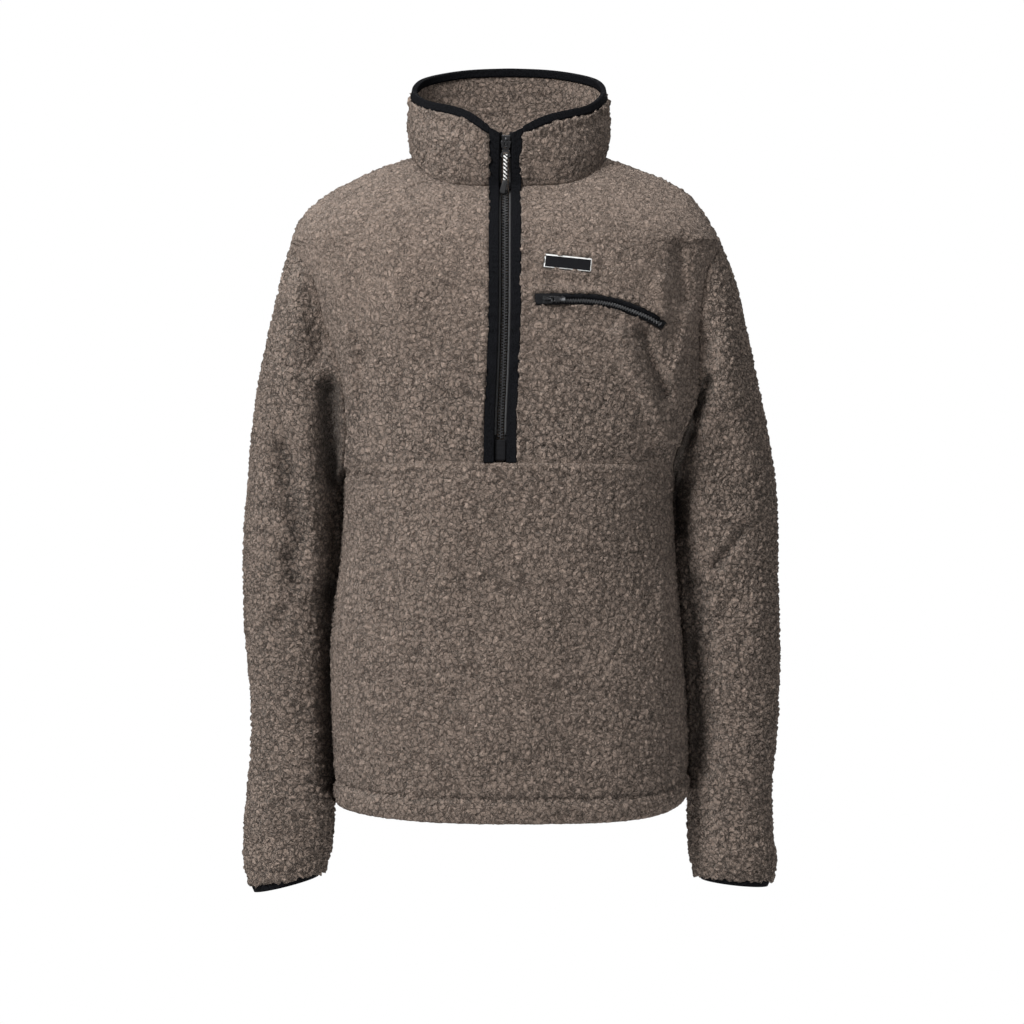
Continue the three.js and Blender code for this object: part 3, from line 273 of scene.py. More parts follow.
def fleece_finish():
    made = Finish("fleece_pile", roughness=0.95, specular=0.08, sheen=0.25, sheen_tint=PILE_SHEEN)
    place = made.place()
    pile = made.painted("pile")
    brushed = made.painted("brushed")
    hollow = made.painted("hollow")
    bent = bent_place(made, bent_place(made, place, *BEND), *FINE_BEND)
    combed = made.node("Mapping", {}, {"Vector": bent, "Scale": COMB})
    crevice = made.noise(place, CREVICE_CELLS) * CREVICE_SPREAD + hollow * CREVICE_DEEP - CREVICE_LEAST
    wide = made.eased(curl_borders(made, bent, CURL_CELLS) / crevice, 0.0, 1.0)
    small = made.eased(curl_borders(made, combed, SMALL_CELLS), 0.0, SMALL_BORDER)
    furrow = furrows(made, bent, FURROW_CELLS, 0.55)
    combed_furrow = furrows(made, combed, COMBED_CELLS, 0.5)
    grain = made.noise(place, GRAIN_CELLS, 3.0, 0.65)
    cloud = made.noise(place, CLOUD_CELLS, 3.0, 0.55)
    curly_tone = pile_tone(CURLY, wide, furrow, small, pile)
    brushed_tone = pile_tone(BRUSHED, wide, combed_furrow, small, pile)
    tone = curly_tone * (1 - brushed) + brushed_tone * brushed
    # Grain and cloud are the pile's own uneven tone; the hollows of the creases are darkened as painted
    # shade
    tone = tone + (grain - 0.5) * GRAIN_TONE + (cloud - 0.5) * CLOUD_TONE - hollow * HOLLOW_PAINTED_SHADE
    # Base colour from the tone: painted shade in the crevices, painted light on the curl tips, with the
    # pile's own grain and cloudy tone
    made.set("Base Color", made.ramp(tone, *PILE_PAINTED_SHADE_AND_LIGHT))
    height = (wide * WIDE_RELIEF + furrow * FURROW_RELIEF) * (1 - brushed * BRUSHED_DOWN)
    height = height + (small + combed_furrow) * SMALL_RELIEF + grain * GRAIN_RELIEF
    made.bump(height, strength=1.0, depth=3.0 * MM)
    return made.material


# Linear colours of the other finishes, dark and light
KNIT_SHADES = ((0.0015, 0.0016, 0.0020), (0.0085, 0.0088, 0.0105))
TAPE_SHADES = ((0.003, 0.003, 0.0035), (0.013, 0.013, 0.0145))
PIPING_SHADES = ((0.018, 0.018, 0.019), (0.050, 0.050, 0.051))
TEETH_SHADES = ((0.010, 0.010, 0.011), (0.028, 0.028, 0.030))
METAL_SHADES = ((0.020, 0.020, 0.022), (0.080, 0.080, 0.084))
END_SHADES = ((0.010, 0.010, 0.011), (0.020, 0.020, 0.021))
PATCH_SHADES = ((0.004, 0.004, 0.005), (0.016, 0.016, 0.018))
PATCH_BORDER = (0.55, 0.55, 0.54)
CORD_SHADES = ((0.34, (0.006, 0.006, 0.007)), (0.50, (0.09, 0.09, 0.09)), (0.60, (0.62, 0.61, 0.59)))

# Threads of the woven finishes, in radians of a sine wave for each metre
TAPE_RIBS = 5200
PATCH_THREADS = 6200
CORD_TURNS = 1650
CORD_LEAN = 1500


def speckled(name, shades, places, cells, detail=2.0, rough=0.5, **surface):
    """A nearly even finish whose colour follows a fine speckle, and the speckle itself."""
    made = Finish(name, **surface)
    speckle = made.noise(made.place(), cells, detail, rough)
    made.set("Base Color", made.ramp(speckle, *zip(places, shades)))
    return made, speckle


def knit_finish():
    made = Finish("binding_knit", roughness=0.95, specular=0.05)
    place = made.place()
    stitch = made.node("TexVoronoi", {"feature": "F1"}, {"Vector": place, "Scale": 900, "Randomness": 0.55})
    lint = made.noise(place, 700, 3.0, 0.6)
    dark, light = KNIT_SHADES
    made.set("Base Color", made.ramp(stitch * 0.8 + lint * 0.25, (0.2, light), (0.75, dark)))
    made.bump(1 - stitch, strength=0.7, depth=0.7 * MM)
    return made.material


def tape_finish():
    made = Finish("zip_tape_weave", roughness=0.85, specular=0.1)
    place = made.place()
    ribs_across = (made.axes(place)[2] * TAPE_RIBS).wave()
    lint = made.noise(place, 900)
    dark, light = TAPE_SHADES
    made.set("Base Color", made.ramp(ribs_across * 0.6 + lint * 0.4, (0.2, dark), (0.9, light)))
    made.bump(ribs_across, strength=0.5, depth=0.3 * MM)
    return made.material


def piping_finish():
    made, lint = speckled("zip_piping_weave", PIPING_SHADES, (0.2, 0.8), cells=1100,
                          roughness=0.7, specular=0.3)
    made.bump(lint, strength=0.4, depth=0.3 * MM)
    return made.material


def teeth_finish():
    made, wear = speckled("zip_teeth_nylon", TEETH_SHADES, (0.3, 0.8), cells=500,
                          roughness=0.42, specular=0.5)
    made.set("Roughness", wear * 0.25 + 0.3)
    return made.material


def metal_finish():
    made, wear = speckled("zip_metal_black", METAL_SHADES, (0.3, 0.85), cells=300, detail=3.0, rough=0.6,
                          roughness=0.2, specular=0.6, metallic=0.85, coat=0.5)
    made.set("Roughness", wear * 0.2 + 0.14)
    return made.material


def cord_finish():
    made = Finish("pull_cord_braid", roughness=0.75, specular=0.25)
    place = made.place()
    x, _, z = made.axes(place)
    lint = made.noise(place, 1500)
    rising = (z * CORD_TURNS + x * CORD_LEAN).wave()
    falling = (z * CORD_TURNS - x * CORD_LEAN).wave()
    made.set("Base Color", made.ramp(rising * 0.6 + falling * 0.25 + lint * 0.15, *CORD_SHADES))
    made.bump(rising.larger(falling), strength=0.7, depth=0.4 * MM)
    return made.material


def end_finish():
    made, grain = speckled("pull_end_moulded", END_SHADES, (0.2, 0.9), cells=900,
                           roughness=0.38, specular=0.5)
    made.bump(grain, strength=0.15, depth=0.2 * MM)
    return made.material


PATCH_CENTRE = (0.057, 0.0, -0.102)
PATCH_TILT = math.radians(-5.5)
PATCH_HALF = (23.0 * MM, 6.5 * MM)
PATCH_FRAME = 1.1 * MM


def patch_finish():
    made = Finish("patch_weave", roughness=0.9, specular=0.08)
    moved = made.vector_sum("SUBTRACT", made.place(), PATCH_CENTRE)
    along, _, up = made.axes(made.node("Mapping", {}, {"Vector": moved, "Rotation": (0, PATCH_TILT, 0)}))
    weave = (along * PATCH_THREADS).wave() * (up * PATCH_THREADS).wave()
    dark, light = PATCH_SHADES
    past_side = abs(along) - (PATCH_HALF[0] - PATCH_FRAME)
    past_edge = abs(up) - (PATCH_HALF[1] - PATCH_FRAME)
    border = past_side.larger(past_edge).above(0.0)
    made.set("Base Color", made.mix(border, made.ramp(weave, (0.1, dark), (0.9, light)), PATCH_BORDER))
    made.bump(weave, strength=0.4, depth=0.3 * MM)
    return made.material


FLEECE = fleece_finish()
KNIT = knit_finish()
TAPE = tape_finish()
PIPING = piping_finish()
TEETH = teeth_finish()
METAL = metal_finish()
CORD = cord_finish()
END = end_finish()
PATCH = patch_finish()


# Meshes and pieces

WELD = 0.004 * MM
FLAT_TURN = math.radians(45)
SQUARE_TURN = math.radians(120)
CLOTH_EDGE = 50
TRIM_EDGE = 62
BEVEL_EDGE = math.radians(35)


def piece(name, mesh, body, finish, replaced=()):
    made = bpy.data.objects.new(name, mesh)
    bpy.context.collection.objects.link(made)
    mesh.materials.clear()
    mesh.materials.append(finish)
    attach(made, body)
    if replaced:
        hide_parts(*replaced)
    return made


def meshed(work, name, soft=True):
    """The shape as a finished mesh, shaded soft or with flat faces."""
    for face in work.faces:
        face.smooth = soft
    mesh = bpy.data.meshes.new(name)
    work.to_mesh(mesh)
    work.free()
    return mesh


def merged(node, quads=True):
    """The node's own mesh with its doubles merged and its triangles paired."""
    work = bmesh.new()
    work.from_mesh(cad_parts[node].data)
    bmesh.ops.remove_doubles(work, verts=work.verts, dist=WELD)
    if quads:
        bmesh.ops.join_triangles(work, faces=work.faces, angle_face_threshold=FLAT_TURN,
                                 angle_shape_threshold=SQUARE_TURN)
    return work


def smoothed(work, levels, crease_angle):
    """Catmull-Clark rounds, with the edges of the cloth kept where they are."""
    crease = work.edges.layers.float.new("crease_edge")
    for edge in work.edges:
        if len(edge.link_faces) != 2 or edge.calc_face_angle(0) > math.radians(crease_angle):
            edge[crease] = 1.0
    mesh = meshed(work, "smoothing")
    holder = bpy.data.objects.new("smoothing", mesh)
    bpy.context.collection.objects.link(holder)
    rounds = holder.modifiers.new("rounds", "SUBSURF")
    rounds.levels = levels
    rounds.render_levels = levels
    rounds.boundary_smooth = "PRESERVE_CORNERS"
    bpy.context.view_layer.update()
    shown = holder.evaluated_get(bpy.context.evaluated_depsgraph_get())
    result = bmesh.new()
    result.from_mesh(shown.to_mesh())
    bpy.data.objects.remove(holder)
    bpy.data.meshes.remove(mesh)
    return result


# Which way is out of the cloth: from the body's middle, the neck's axis or the sleeve's

TORSO_SIDEWAYS, TORSO_FORWARD, TORSO_UP = 0.4, 1.3, 0.12
NECK_BACK = 5 * MM
AXIS_STEP, AXIS_BAND = 20 * MM, 30 * MM


def torso_away(spot):
    return Vector((spot.x * TORSO_SIDEWAYS, spot.y * TORSO_FORWARD, TORSO_UP))


def collar_away(spot):
    return Vector((spot.x, spot.y + NECK_BACK, 0))


def sleeve_axis(work):
    """Middle of the sleeve at each height, for telling its outer skin from its inner one."""
    points = np.array([v.co for v in work.verts])
    heights = np.arange(points[:, 2].min(), points[:, 2].max(), AXIS_STEP)
    middles = []
    for z in heights:
        near = points[np.abs(points[:, 2] - z) < AXIS_BAND]
        middles.append((near.min(0) + near.max(0)) / 2)
    xs, ys, _ = np.array(middles).T
    return lambda z: Vector((np.interp(z, heights, xs), np.interp(z, heights, ys), z))


def sleeve_away(work):
    axis = sleeve_axis(work)

    def away(spot):
        return spot - axis(spot.z - AXIS_BAND)
    return away


WALL_EDGE = 6.5 * MM


def sort_skins(work, away):
    """Marks each face as outer skin, inner skin or rim by the way that it looks."""
    for face in work.faces:
        face.material_index = OUTER if face.normal.dot(away(face.calc_center_median())) > 0 else INNER
    for face in work.faces:
        turns = [e.calc_face_angle(0) > math.radians(CLOTH_EDGE) for e in face.edges]
        if sum(turns) >= 2 and min(e.calc_length() for e in face.edges) < WALL_EDGE:
            face.material_index = RIM


# Chance patterns that come out the same each time

CELL_KEYS = (73856093, 19349663, 83492791)
SHUFFLE, LOW_BITS = 1103515245, 0x7FFFFFFF
CENTRE_STEPS = (7919, 104729, 1299709)
NOISE_STEP = 12345


def cell_key(cell, seed):
    """A whole number for each cell of a grid."""
    a, b, c = (cell[:, k] * CELL_KEYS[k] for k in range(3))
    return a ^ b ^ c ^ seed


def shuffled(key, step):
    return (key * SHUFFLE + step) & LOW_BITS


def drawn(key, shift):
    """A number from 0 to 1 out of the middle of the key."""
    return ((key >> shift) & 0xFFFF) / 65536.0


def cell_noise(points, size, seed):
    """Distance to the nearest and next nearest of scattered points, in cell widths."""
    spot = points / size
    base = np.floor(spot).astype(np.int64)
    first = np.full(len(points), 9.0)
    second = np.full(len(points), 9.0)
    for neighbour in range(27):
        cell = base + (neighbour // 9 - 1, neighbour // 3 % 3 - 1, neighbour % 3 - 1)
        key = cell_key(cell, seed)
        offsets = []
        for step in CENTRE_STEPS:
            key = shuffled(key, step)
            offsets.append(drawn(key, 7))
        centre = cell + np.stack(offsets, 1)
        gap = np.sqrt(((spot - centre) ** 2).sum(1))
        second = np.minimum(second, np.maximum(first, gap))
        first = np.minimum(first, gap)
    return first, second


def soft_noise(points, size, seed):
    """Smooth noise from 0 to 1."""
    spot = points / size
    base = np.floor(spot).astype(np.int64)
    part = spot - base
    part = part * part * (3 - 2 * part)
    total = np.zeros(len(points))
    for corner in range(8):
        step = np.array((corner & 1, corner >> 1 & 1, corner >> 2 & 1))
        key = shuffled(shuffled(cell_key(base + step, seed), NOISE_STEP), NOISE_STEP)
        total += drawn(key, 8) * np.prod(np.where(step, part, 1 - part), axis=1)
    return total


def step_between(low, high, value):
    """0 at the low value, rising softly to 1 at the high one."""
    part = np.clip((value - low) / (high - low), 0, 1)
    return part * part * (3 - 2 * part)


def bell(value, middle, width):
    """1 at the middle, falling softly to nothing on both sides."""
    return np.exp(-((value - middle) / width) ** 2)


# Curls of the pile

CURL, CURL_SMALL = 6.4 * MM, 3.3 * MM
CURL_RISE = 5.0 * MM
CURL_SHARE = 0.62
WANDER, WANDER_SEEDS = 9 * MM, (11, 23, 37)
FINE_WANDER, FINE_WANDER_SEEDS = 3.4 * MM, (41, 53, 67)
WANDER_REACH, FINE_REACH = 5.0 * MM, 2.0 * MM


def drift(points, size, seeds):
    return np.stack([soft_noise(points, size, seed) for seed in seeds], 1) - 0.5


def curl_layer(points, size, seed, dome, crevice):
    """Domes parted by crevices, from 0 to 1; dome is the share that is round and not flat."""
    near, next_near = cell_noise(points, size, seed)
    crown = np.clip(1 - near * near * 1.1, 0, 1)
    return crown * dome + step_between(0.0, crevice, next_near - near) * (1 - dome)


def curl_height(points):
    """Height of the curly pile from 0 in a crevice to 1 on a curl."""
    bent = points + drift(points, WANDER, WANDER_SEEDS) * WANDER_REACH
    bent = bent + drift(points, FINE_WANDER, FINE_WANDER_SEEDS) * FINE_REACH
    wide = curl_layer(bent, CURL, seed=101, dome=0.55, crevice=0.42)
    small = curl_layer(bent, CURL_SMALL, seed=202, dome=0.5, crevice=0.45)
    return wide * CURL_SHARE + small * (1 - CURL_SHARE)


CHEST_LOW, CHEST_HIGH = -0.32, -0.10
SIDE_FADE = 30 * MM
WIDE_PATCH, SMALL_PATCH = 45 * MM, 18 * MM
SEAM_BRUSHED, COLLAR_BRUSHED, FRONT_BRUSHED, SLEEVE_SHARE = 0.85, 0.40, 0.25, 0.6


def brushed_share(points, node, seam):
    """How far the pile is brushed flat, from 0 to 1."""
    _, y, z = points.T
    patches = soft_noise(points, WIDE_PATCH, 301) * 0.6 + soft_noise(points, SMALL_PATCH, 302) * 0.4
    share = step_between(0.45, 0.75, patches) * 0.5
    if node.startswith("yoke"):
        chest = step_between(CHEST_LOW, CHEST_HIGH, z) * (1 - step_between(-SIDE_FADE, 0.0, y))
        share = np.maximum(share, chest * (0.5 + 0.7 * patches))
    if node == "collar":
        share = np.maximum(share, COLLAR_BRUSHED)
    if node == "front_lower":
        share = np.maximum(share, FRONT_BRUSHED * (1 + patches))
    if node.startswith("sleeve"):
        share = share * SLEEVE_SHARE
    return np.clip(np.maximum(share, SEAM_BRUSHED * (1 - seam)), 0, 1)


LONGEST = 2.6 * MM
LONGEST_BACK = 3.4 * MM


def even_skin(work, longest):
    """Splits the long edges of the outer skin until all are short enough for the curls."""
    for _ in range(5):
        edges = [e for e in work.edges
                 if e.calc_length() > longest and any(f.material_index == OUTER for f in e.link_faces)]
        if not edges:
            break
        bmesh.ops.subdivide_edges(work, edges=edges, cuts=1, use_grid_fill=True)


def tree_of(spots):
    tree = KDTree(max(len(spots), 1))
    for k, spot in enumerate(spots):
        tree.insert(spot, k)
    tree.balance()
    return tree


def distances(points, tree):
    return np.array([tree.find(p)[2] for p in points])


# Main creases of the cloth in mm: each a line between two points, with a soft trough (below 0) or ridge.
# side is -1 for the front and 1 for the back; part is S for sleeves, B for the body and A for both.
CREASES = (
    # side, part, x1, z1, x2, z2, width, height
    (-1, "S", -176, -222, -175, -305, 12, -22),
    (-1, "S", -176, -330, -178, -420, 9, -9),
    (-1, "S", -218, -214, -186, -304, 12, 6),
    (-1, "S", -222, -282, -207, -369, 10, -9),
    (-1, "S", -216, -388, -211, -412, 9, -9),
    (-1, "S", -221, -437, -225, -452, 8, -5),
    (-1, "S", -200, -330, -190, -400, 10, 4),
    (-1, "S", -178, -420, -176, -612, 10, -15),
    (-1, "A", -196, -130, -186, -190, 9, -5),
    (-1, "S", -208, -120, -203, -190, 10, 4),
    (-1, "B", -158, -170, -152, -236, 9, 4),
    (-1, "B", -142, -190, -146, -240, 7, -3),
    (-1, "B", -112, -95, -104, -170, 20, 3),
    (-1, "B", 106, -171, 154, -272, 8, 6),
    (-1, "B", 130, -168, 152, -228, 7, -8),
    (-1, "B", 149, -120, 150, -150, 8, 4),
    (-1, "A", 166, -86, 169, -132, 9, -6),
    (-1, "A", 176, -150, 160, -214, 7, 4),
    (-1, "S", 194, -214, 175, -266, 7, -13),
    (-1, "S", 175, -266, 166, -292, 8, -14),
    (-1, "S", 166, -312, 166, -356, 12, -18),
    (-1, "S", 213, -180, 216, -238, 12, 6),
    (-1, "S", 233, -356, 204, -396, 6, -7),
    (-1, "S", 240, -342, 210, -380, 8, 3),
    (-1, "S", 178, -380, 180, -410, 9, -8),
    (-1, "S", 186, -418, 190, -592, 11, -10),
    (-1, "S", 215, -430, 230, -470, 10, -4),
    (-1, "B", 149, -400, 149, -486, 5, 2.5),
    (-1, "B", -60, -330, -66, -420, 24, 2),
    (-1, "B", 60, -420, 66, -560, 26, -2),
    (1, "S", -172, -230, -170, -300, 12, -15),
    (1, "S", -214, -250, -196, -340, 11, -7),
    (1, "S", -226, -380, -206, -410, 8, -8),
    (1, "S", -222, -396, -200, -436, 8, 4),
    (1, "S", -178, -420, -176, -600, 10, -10),
    (1, "B", -120, -140, -150, -250, 10, 5),
    (1, "B", -134, -150, -156, -225, 8, -6),
    (1, "B", 112, -150, 148, -262, 11, 5),
    (1, "B", 128, -140, 154, -232, 8, -6),
    (1, "B", -60, -420, -40, -570, 24, 3),
    (1, "B", 52, -380, 70, -520, 22, -3),
    (1, "S", 168, -228, 168, -310, 12, -15),
    (1, "S", 216, -240, 196, -330, 10, -6),
    (1, "S", 228, -366, 200, -404, 7, -7),
    (1, "S", 186, -418, 190, -590, 11, -8),
)
FRONT_LINE = -12
# Where a sleeve and the body turn from front to back, as distances in mm from that line
SLEEVE_TURN, BODY_TURN = (-16, 4), (-10, 14)
BODY_RAISE = 1.5
HOLLOW_FROM, HOLLOW_SPAN = 5, 11
SEAM_HELD = (0.5 * MM, 9 * MM)


def crease_height(points, sleeve, inland):
    """How far the creases move the cloth along Y, and how deep in a hollow it lies, for painted shade in
    the pile's finish.
    """
    x, y, z = points.T / MM
    moved = np.zeros(len(points))
    hollow = np.zeros(len(points))
    turn = SLEEVE_TURN if sleeve else BODY_TURN
    for side, part, x1, z1, x2, z2, width, height in CREASES:
        if part == ("B" if sleeve else "S"):
            continue
        along = np.array((x2 - x1, z2 - z1), float)
        share = np.clip(((x - x1) * along[0] + (z - z1) * along[1]) / (along @ along), 0, 1)
        gap = np.hypot(x - x1 - share * along[0], z - z1 - share * along[1])
        weight = bell(gap, 0, width) * step_between(*turn, side * (y - FRONT_LINE))
        held = 1 if part == "A" else inland
        moved += side * height * weight * held * (1.0 if sleeve else BODY_RAISE)
        hollow += np.clip((-height - HOLLOW_FROM) / HOLLOW_SPAN, 0, 1) * weight
    return moved * MM, np.clip(hollow, 0, 1)


# What shapes the pile beside seams, hem, pocket slits and trims

PANEL_ROUNDS = 2
SHOULDER_LOW, SHOULDER_OUT, SHOULDER_ROUNDS = -0.098, 0.185, 6
SEAM_FILL = 0.55 * MM
SEAM_FLAT, SEAM_LOW = 8 * MM, 4 * MM
INSIDE_BRUSHED = 0.5
ARM_FILL = 2.6 * MM
SIDE_FILL, SIDE_FULL, SIDE_TOP = 1.6 * MM, -0.36, -0.32
HEM_STITCH, HEM_GROOVE, HEM_DEPTH = 23 * MM, 2.6 * MM, 2.2 * MM
HEM_ROLL, HEM_PUFF = 8 * MM, 1.6 * MM
HEM_DIMPLE = 7 * MM
HEM_STATIONS, HEM_REACH = 121, 0.06
SLIT_TOP, SLIT_END, SLIT_FADE = -0.392, -0.535, 12 * MM
SLIT_STITCH, SLIT_GROOVE, SLIT_DEPTH = 8 * MM, 1.7 * MM, 1.8 * MM
SLIT_FLAT = (9 * MM, 14 * MM)
CROSS_SEAM, CROSS_FADE = -0.325, 10 * MM
CROSS_RIDGE, CROSS_WIDTH, CROSS_RISE = 4.5 * MM, 3.5 * MM, 1.4 * MM
PRESSED = 0.5 * MM
BROW = 2.6 * MM
LAP, LAP_TUFT = 3.2 * MM, 3.4 * MM
# From where to where each effect of a trim fades, by the gap to it, the gap to a seam, or a share
TOUCHED, COVERED = (0.2 * MM, 0.7 * MM), (3 * MM, 6 * MM)
BESIDE, LAPPED = (2.3 * MM, 11 * MM), (2.5 * MM, 5 * MM)
OFF_SEAM = (1 * MM, 5 * MM)
COVERED_WAY, RAGGED = (0.45, 0.85), (0.35, 0.75)
SMALLEST = 1e-6


def hem_line(points):
    """Height above the hem's edge, found round the body in small steps."""
    turn = np.arctan2(points[:, 1], points[:, 0])
    steps = np.linspace(-math.pi, math.pi, HEM_STATIONS)
    lowest = np.array([points[np.abs(turn - t) < HEM_REACH][:, 2].min(initial=1.0) for t in steps])
    known = lowest < 0
    return points[:, 2] - np.interp(turn, steps[known], lowest[known])


def skin_parts(work):
    """Points of the outer skin and of the rim, and the way that the rim faces at each of them."""
    work.verts.ensure_lookup_table()
    work.normal_update()
    outer, rim, rim_way = set(), set(), {}
    for face in work.faces:
        corners = [v.index for v in face.verts]
        if face.material_index == OUTER:
            outer.update(corners)
        if face.material_index == RIM:
            rim.update(corners)
            for index in corners:
                rim_way[index] = rim_way.get(index, Vector()) + face.normal * face.calc_area()
        face.material_index = 0
    return outer, rim, rim_way


def round_shoulder(work, free):
    """Softens the corner where the shoulder seam meets the sleeve."""
    corner = [v for v in work.verts
              if v.index in free and v.co.z > SHOULDER_LOW and abs(v.co.x) > SHOULDER_OUT]
    for _ in range(SHOULDER_ROUNDS):
        bmesh.ops.smooth_vert(work, verts=corner, factor=0.5, use_axis_x=True, use_axis_y=True,
                              use_axis_z=True)
    work.normal_update()


def surface_tree(trims):
    """All the faces of some trims, for finding the nearest place on them."""
    spots, corners = [], []
    for made in trims:
        corners += [[k + len(spots) for k in p.vertices] for p in made.data.polygons]
        spots += [v.co for v in made.data.vertices]
    return BVHTree.FromPolygons(spots, corners)


class Skin:
    """The points of a panel's fine mesh, while its pile is raised."""

    def __init__(self, node, work):
        outer, rim, self.rim_way = skin_parts(work)
        round_shoulder(work, outer - rim)
        self.node = node
        self.work = work
        self.sleeve = node.startswith("sleeve")
        self.points = np.array([v.co for v in work.verts])
        self.normals = np.array([v.normal for v in work.verts])
        self.edge_gap = distances(self.points, tree_of(self.points[sorted(outer & rim)]))
        self.outside = np.zeros(len(self.points))
        self.outside[sorted(outer)] = 1
        self.shift = np.zeros_like(self.points)
        self.slit = np.zeros(len(self.points))
        self.curl = curl_height(self.points)
        seam = step_between(0.0, SEAM_FLAT, self.edge_gap)
        self.brushed = np.where(self.outside > 0, brushed_share(self.points, node, seam), INSIDE_BRUSHED)
        self.rise = (self.curl - 0.5) * CURL_RISE * (1 - 0.6 * self.brushed)
        self.rise *= 0.45 + 0.55 * step_between(0.0, SEAM_LOW, self.edge_gap)

    def fill_arm(self):
        """Thicker pile on a sleeve's side towards the body."""
        towards_body = -np.sign(self.points[:, 0]) * self.normals[:, 0]
        self.rise += np.clip(towards_body, 0, 1) * ARM_FILL

    def fill_side(self):
        """Thicker pile on the body's sides below the armpits."""
        below = 1 - step_between(SIDE_FULL, SIDE_TOP, self.points[:, 2])
        self.rise += np.abs(self.normals[:, 0]) ** 3 * below * SIDE_FILL

    def stitch_hem(self):
        """A dimpled groove along the hem's stitches, with a puffed roll below it."""
        above = hem_line(self.points)
        dimple = soft_noise(self.points, HEM_DIMPLE, 411)
        stitched = bell(above, HEM_STITCH, HEM_GROOVE)
        puffed = bell(above, HEM_STITCH / 2, HEM_ROLL)
        self.rise += puffed * HEM_PUFF - stitched * (0.6 + 1.1 * dimple) * HEM_DEPTH
        self.brushed = np.maximum(self.brushed * (1 - stitched), puffed * 0.4)

    def stitch_slits(self):
        """A stitched line beside each hand pocket's slit, with flat pile up to the slit."""
        z = self.points[:, 2]
        self.slit = step_between(SLIT_END - SLIT_FADE, SLIT_END, z)
        self.slit *= 1 - step_between(SLIT_TOP, SLIT_TOP + SLIT_FADE, z)
        self.rise -= self.slit * bell(self.edge_gap, SLIT_STITCH, SLIT_GROOVE) * SLIT_DEPTH
        flat = self.slit * (1 - step_between(*SLIT_FLAT, self.edge_gap)) * 0.9
        self.brushed = np.maximum(self.brushed, flat)

    def raise_cross_seam(self):
        """A low ridge under the seam that crosses the chest."""
        near_top = step_between(CROSS_SEAM, CROSS_SEAM + CROSS_FADE, self.points[:, 2])
        self.rise += bell(self.edge_gap, CROSS_RIDGE, CROSS_WIDTH) * near_top * CROSS_RISE

    def press(self, trims):
        """Lays the pile down under trims, and laps it over their edges in ragged tufts."""
        tree = surface_tree(trims)
        found = [tree.find_nearest(p) for p in self.points]
        gap = np.array([f[3] for f in found])
        way = np.array([f[0] for f in found]) - self.points
        way /= np.maximum(gap, SMALLEST)[:, None]
        upward = (way * self.normals).sum(1)
        covered = step_between(*COVERED_WAY, upward) * (1 - step_between(*COVERED, gap))
        under = np.maximum(1 - step_between(*TOUCHED, gap), covered)
        beside = (1 - under) * (1 - step_between(*BESIDE, gap))
        beside *= step_between(*OFF_SEAM, self.edge_gap)
        self.rise = self.rise * (1 - under) - under * PRESSED + beside * BROW * (0.35 + 0.9 * self.curl)
        ragged = step_between(*RAGGED, soft_noise(self.points, LAP_TUFT, 511))
        lap = beside * (1 - step_between(*LAPPED, gap)) * ragged * LAP
        self.shift = (way - self.normals * upward[:, None]) * lap[:, None]
        self.brushed = np.where(gap < COVERED[0], np.minimum(self.brushed, 0.5), self.brushed)

    def settled(self):
        """The finished panel: pile, creases and closed seams, with the attributes that the finish reads."""
        creased, hollow = crease_height(self.points, self.sleeve, step_between(*SEAM_HELD, self.edge_gap))
        moved = self.points + (self.normals * self.rise[:, None] + self.shift) * self.outside[:, None]
        moved[:, 1] += creased
        for index, way in self.rim_way.items():
            if way.length > 0 and self.slit[index] < 0.5:
                moved[index] += np.array(way.normalized()) * SEAM_FILL
        for vertex, spot in zip(self.work.verts, moved):
            vertex.co = spot
        name = self.node + "_pile"
        mesh = meshed(self.work, name)
        # The hollow layer paints shade into the pile, which is also less brushed there so its crevices show
        # darker
        painted = {"pile": self.curl, "brushed": self.brushed * (1 - 0.7 * hollow), "hollow": hollow}
        for layer_name, values in painted.items():
            layer = mesh.attributes.new(layer_name, "FLOAT", "POINT")
            layer.data.foreach_set("value", values.astype(np.float32))
        return piece(name, mesh, "garment", FLEECE, (self.node,))


def dress(node, away, trims=()):
    """A fleece panel on its solid's form: fine mesh outside, raised into curls."""
    work = merged(node)
    sort_skins(work, away(work) if away is sleeve_away else away)
    work = smoothed(work, PANEL_ROUNDS, CLOTH_EDGE)
    even_skin(work, LONGEST_BACK if node == "back" else LONGEST)
    skin = Skin(node, work)
    if skin.sleeve:
        skin.fill_arm()
    if node in ("front_lower", "back"):
        skin.fill_side()
        skin.stitch_hem()
    if node == "front_lower":
        skin.stitch_slits()
        skin.raise_cross_seam()
    if trims:
        skin.press(trims)
    return skin.settled()


# Bindings, tapes, patch and hard parts, each smoothed or bevelled on its own form

TRIM_LONGEST = 2.2 * MM
BRIDGE = 3.2 * MM
BRIDGE_SHARE = 0.62
POCKET_TIP, TIP_LEAST = 0.142, 0.06


def trim(node, slot, finish, levels=1, body="garment", bevel=0.0, split=True):
    work = merged(node)
    if bevel:
        sharp = [e for e in work.edges if e.calc_face_angle(0) > BEVEL_EDGE]
        bmesh.ops.bevel(work, geom=sharp, offset=bevel, segments=2, profile=0.5, affect="EDGES",
                        material=-1, clamp_overlap=True)
    if levels:
        work = smoothed(work, levels, TRIM_EDGE)
    if split:
        even_skin(work, TRIM_LONGEST)
    name = node + "_trim"
    return piece(name, meshed(work, name), body, finish, (node,))


def meet(first, second):
    """Closes the slit between two bindings where the one runs into the other."""
    sides = [[v.co.copy() for v in made.data.vertices] for made in (first, second)]
    for made, other in ((first, sides[1]), (second, sides[0])):
        tree = tree_of(other)
        for vertex in made.data.vertices:
            spot, _, gap = tree.find(vertex.co)
            if gap < BRIDGE:
                vertex.co += (spot - vertex.co) * BRIDGE_SHARE * math.sqrt(1 - gap / BRIDGE)


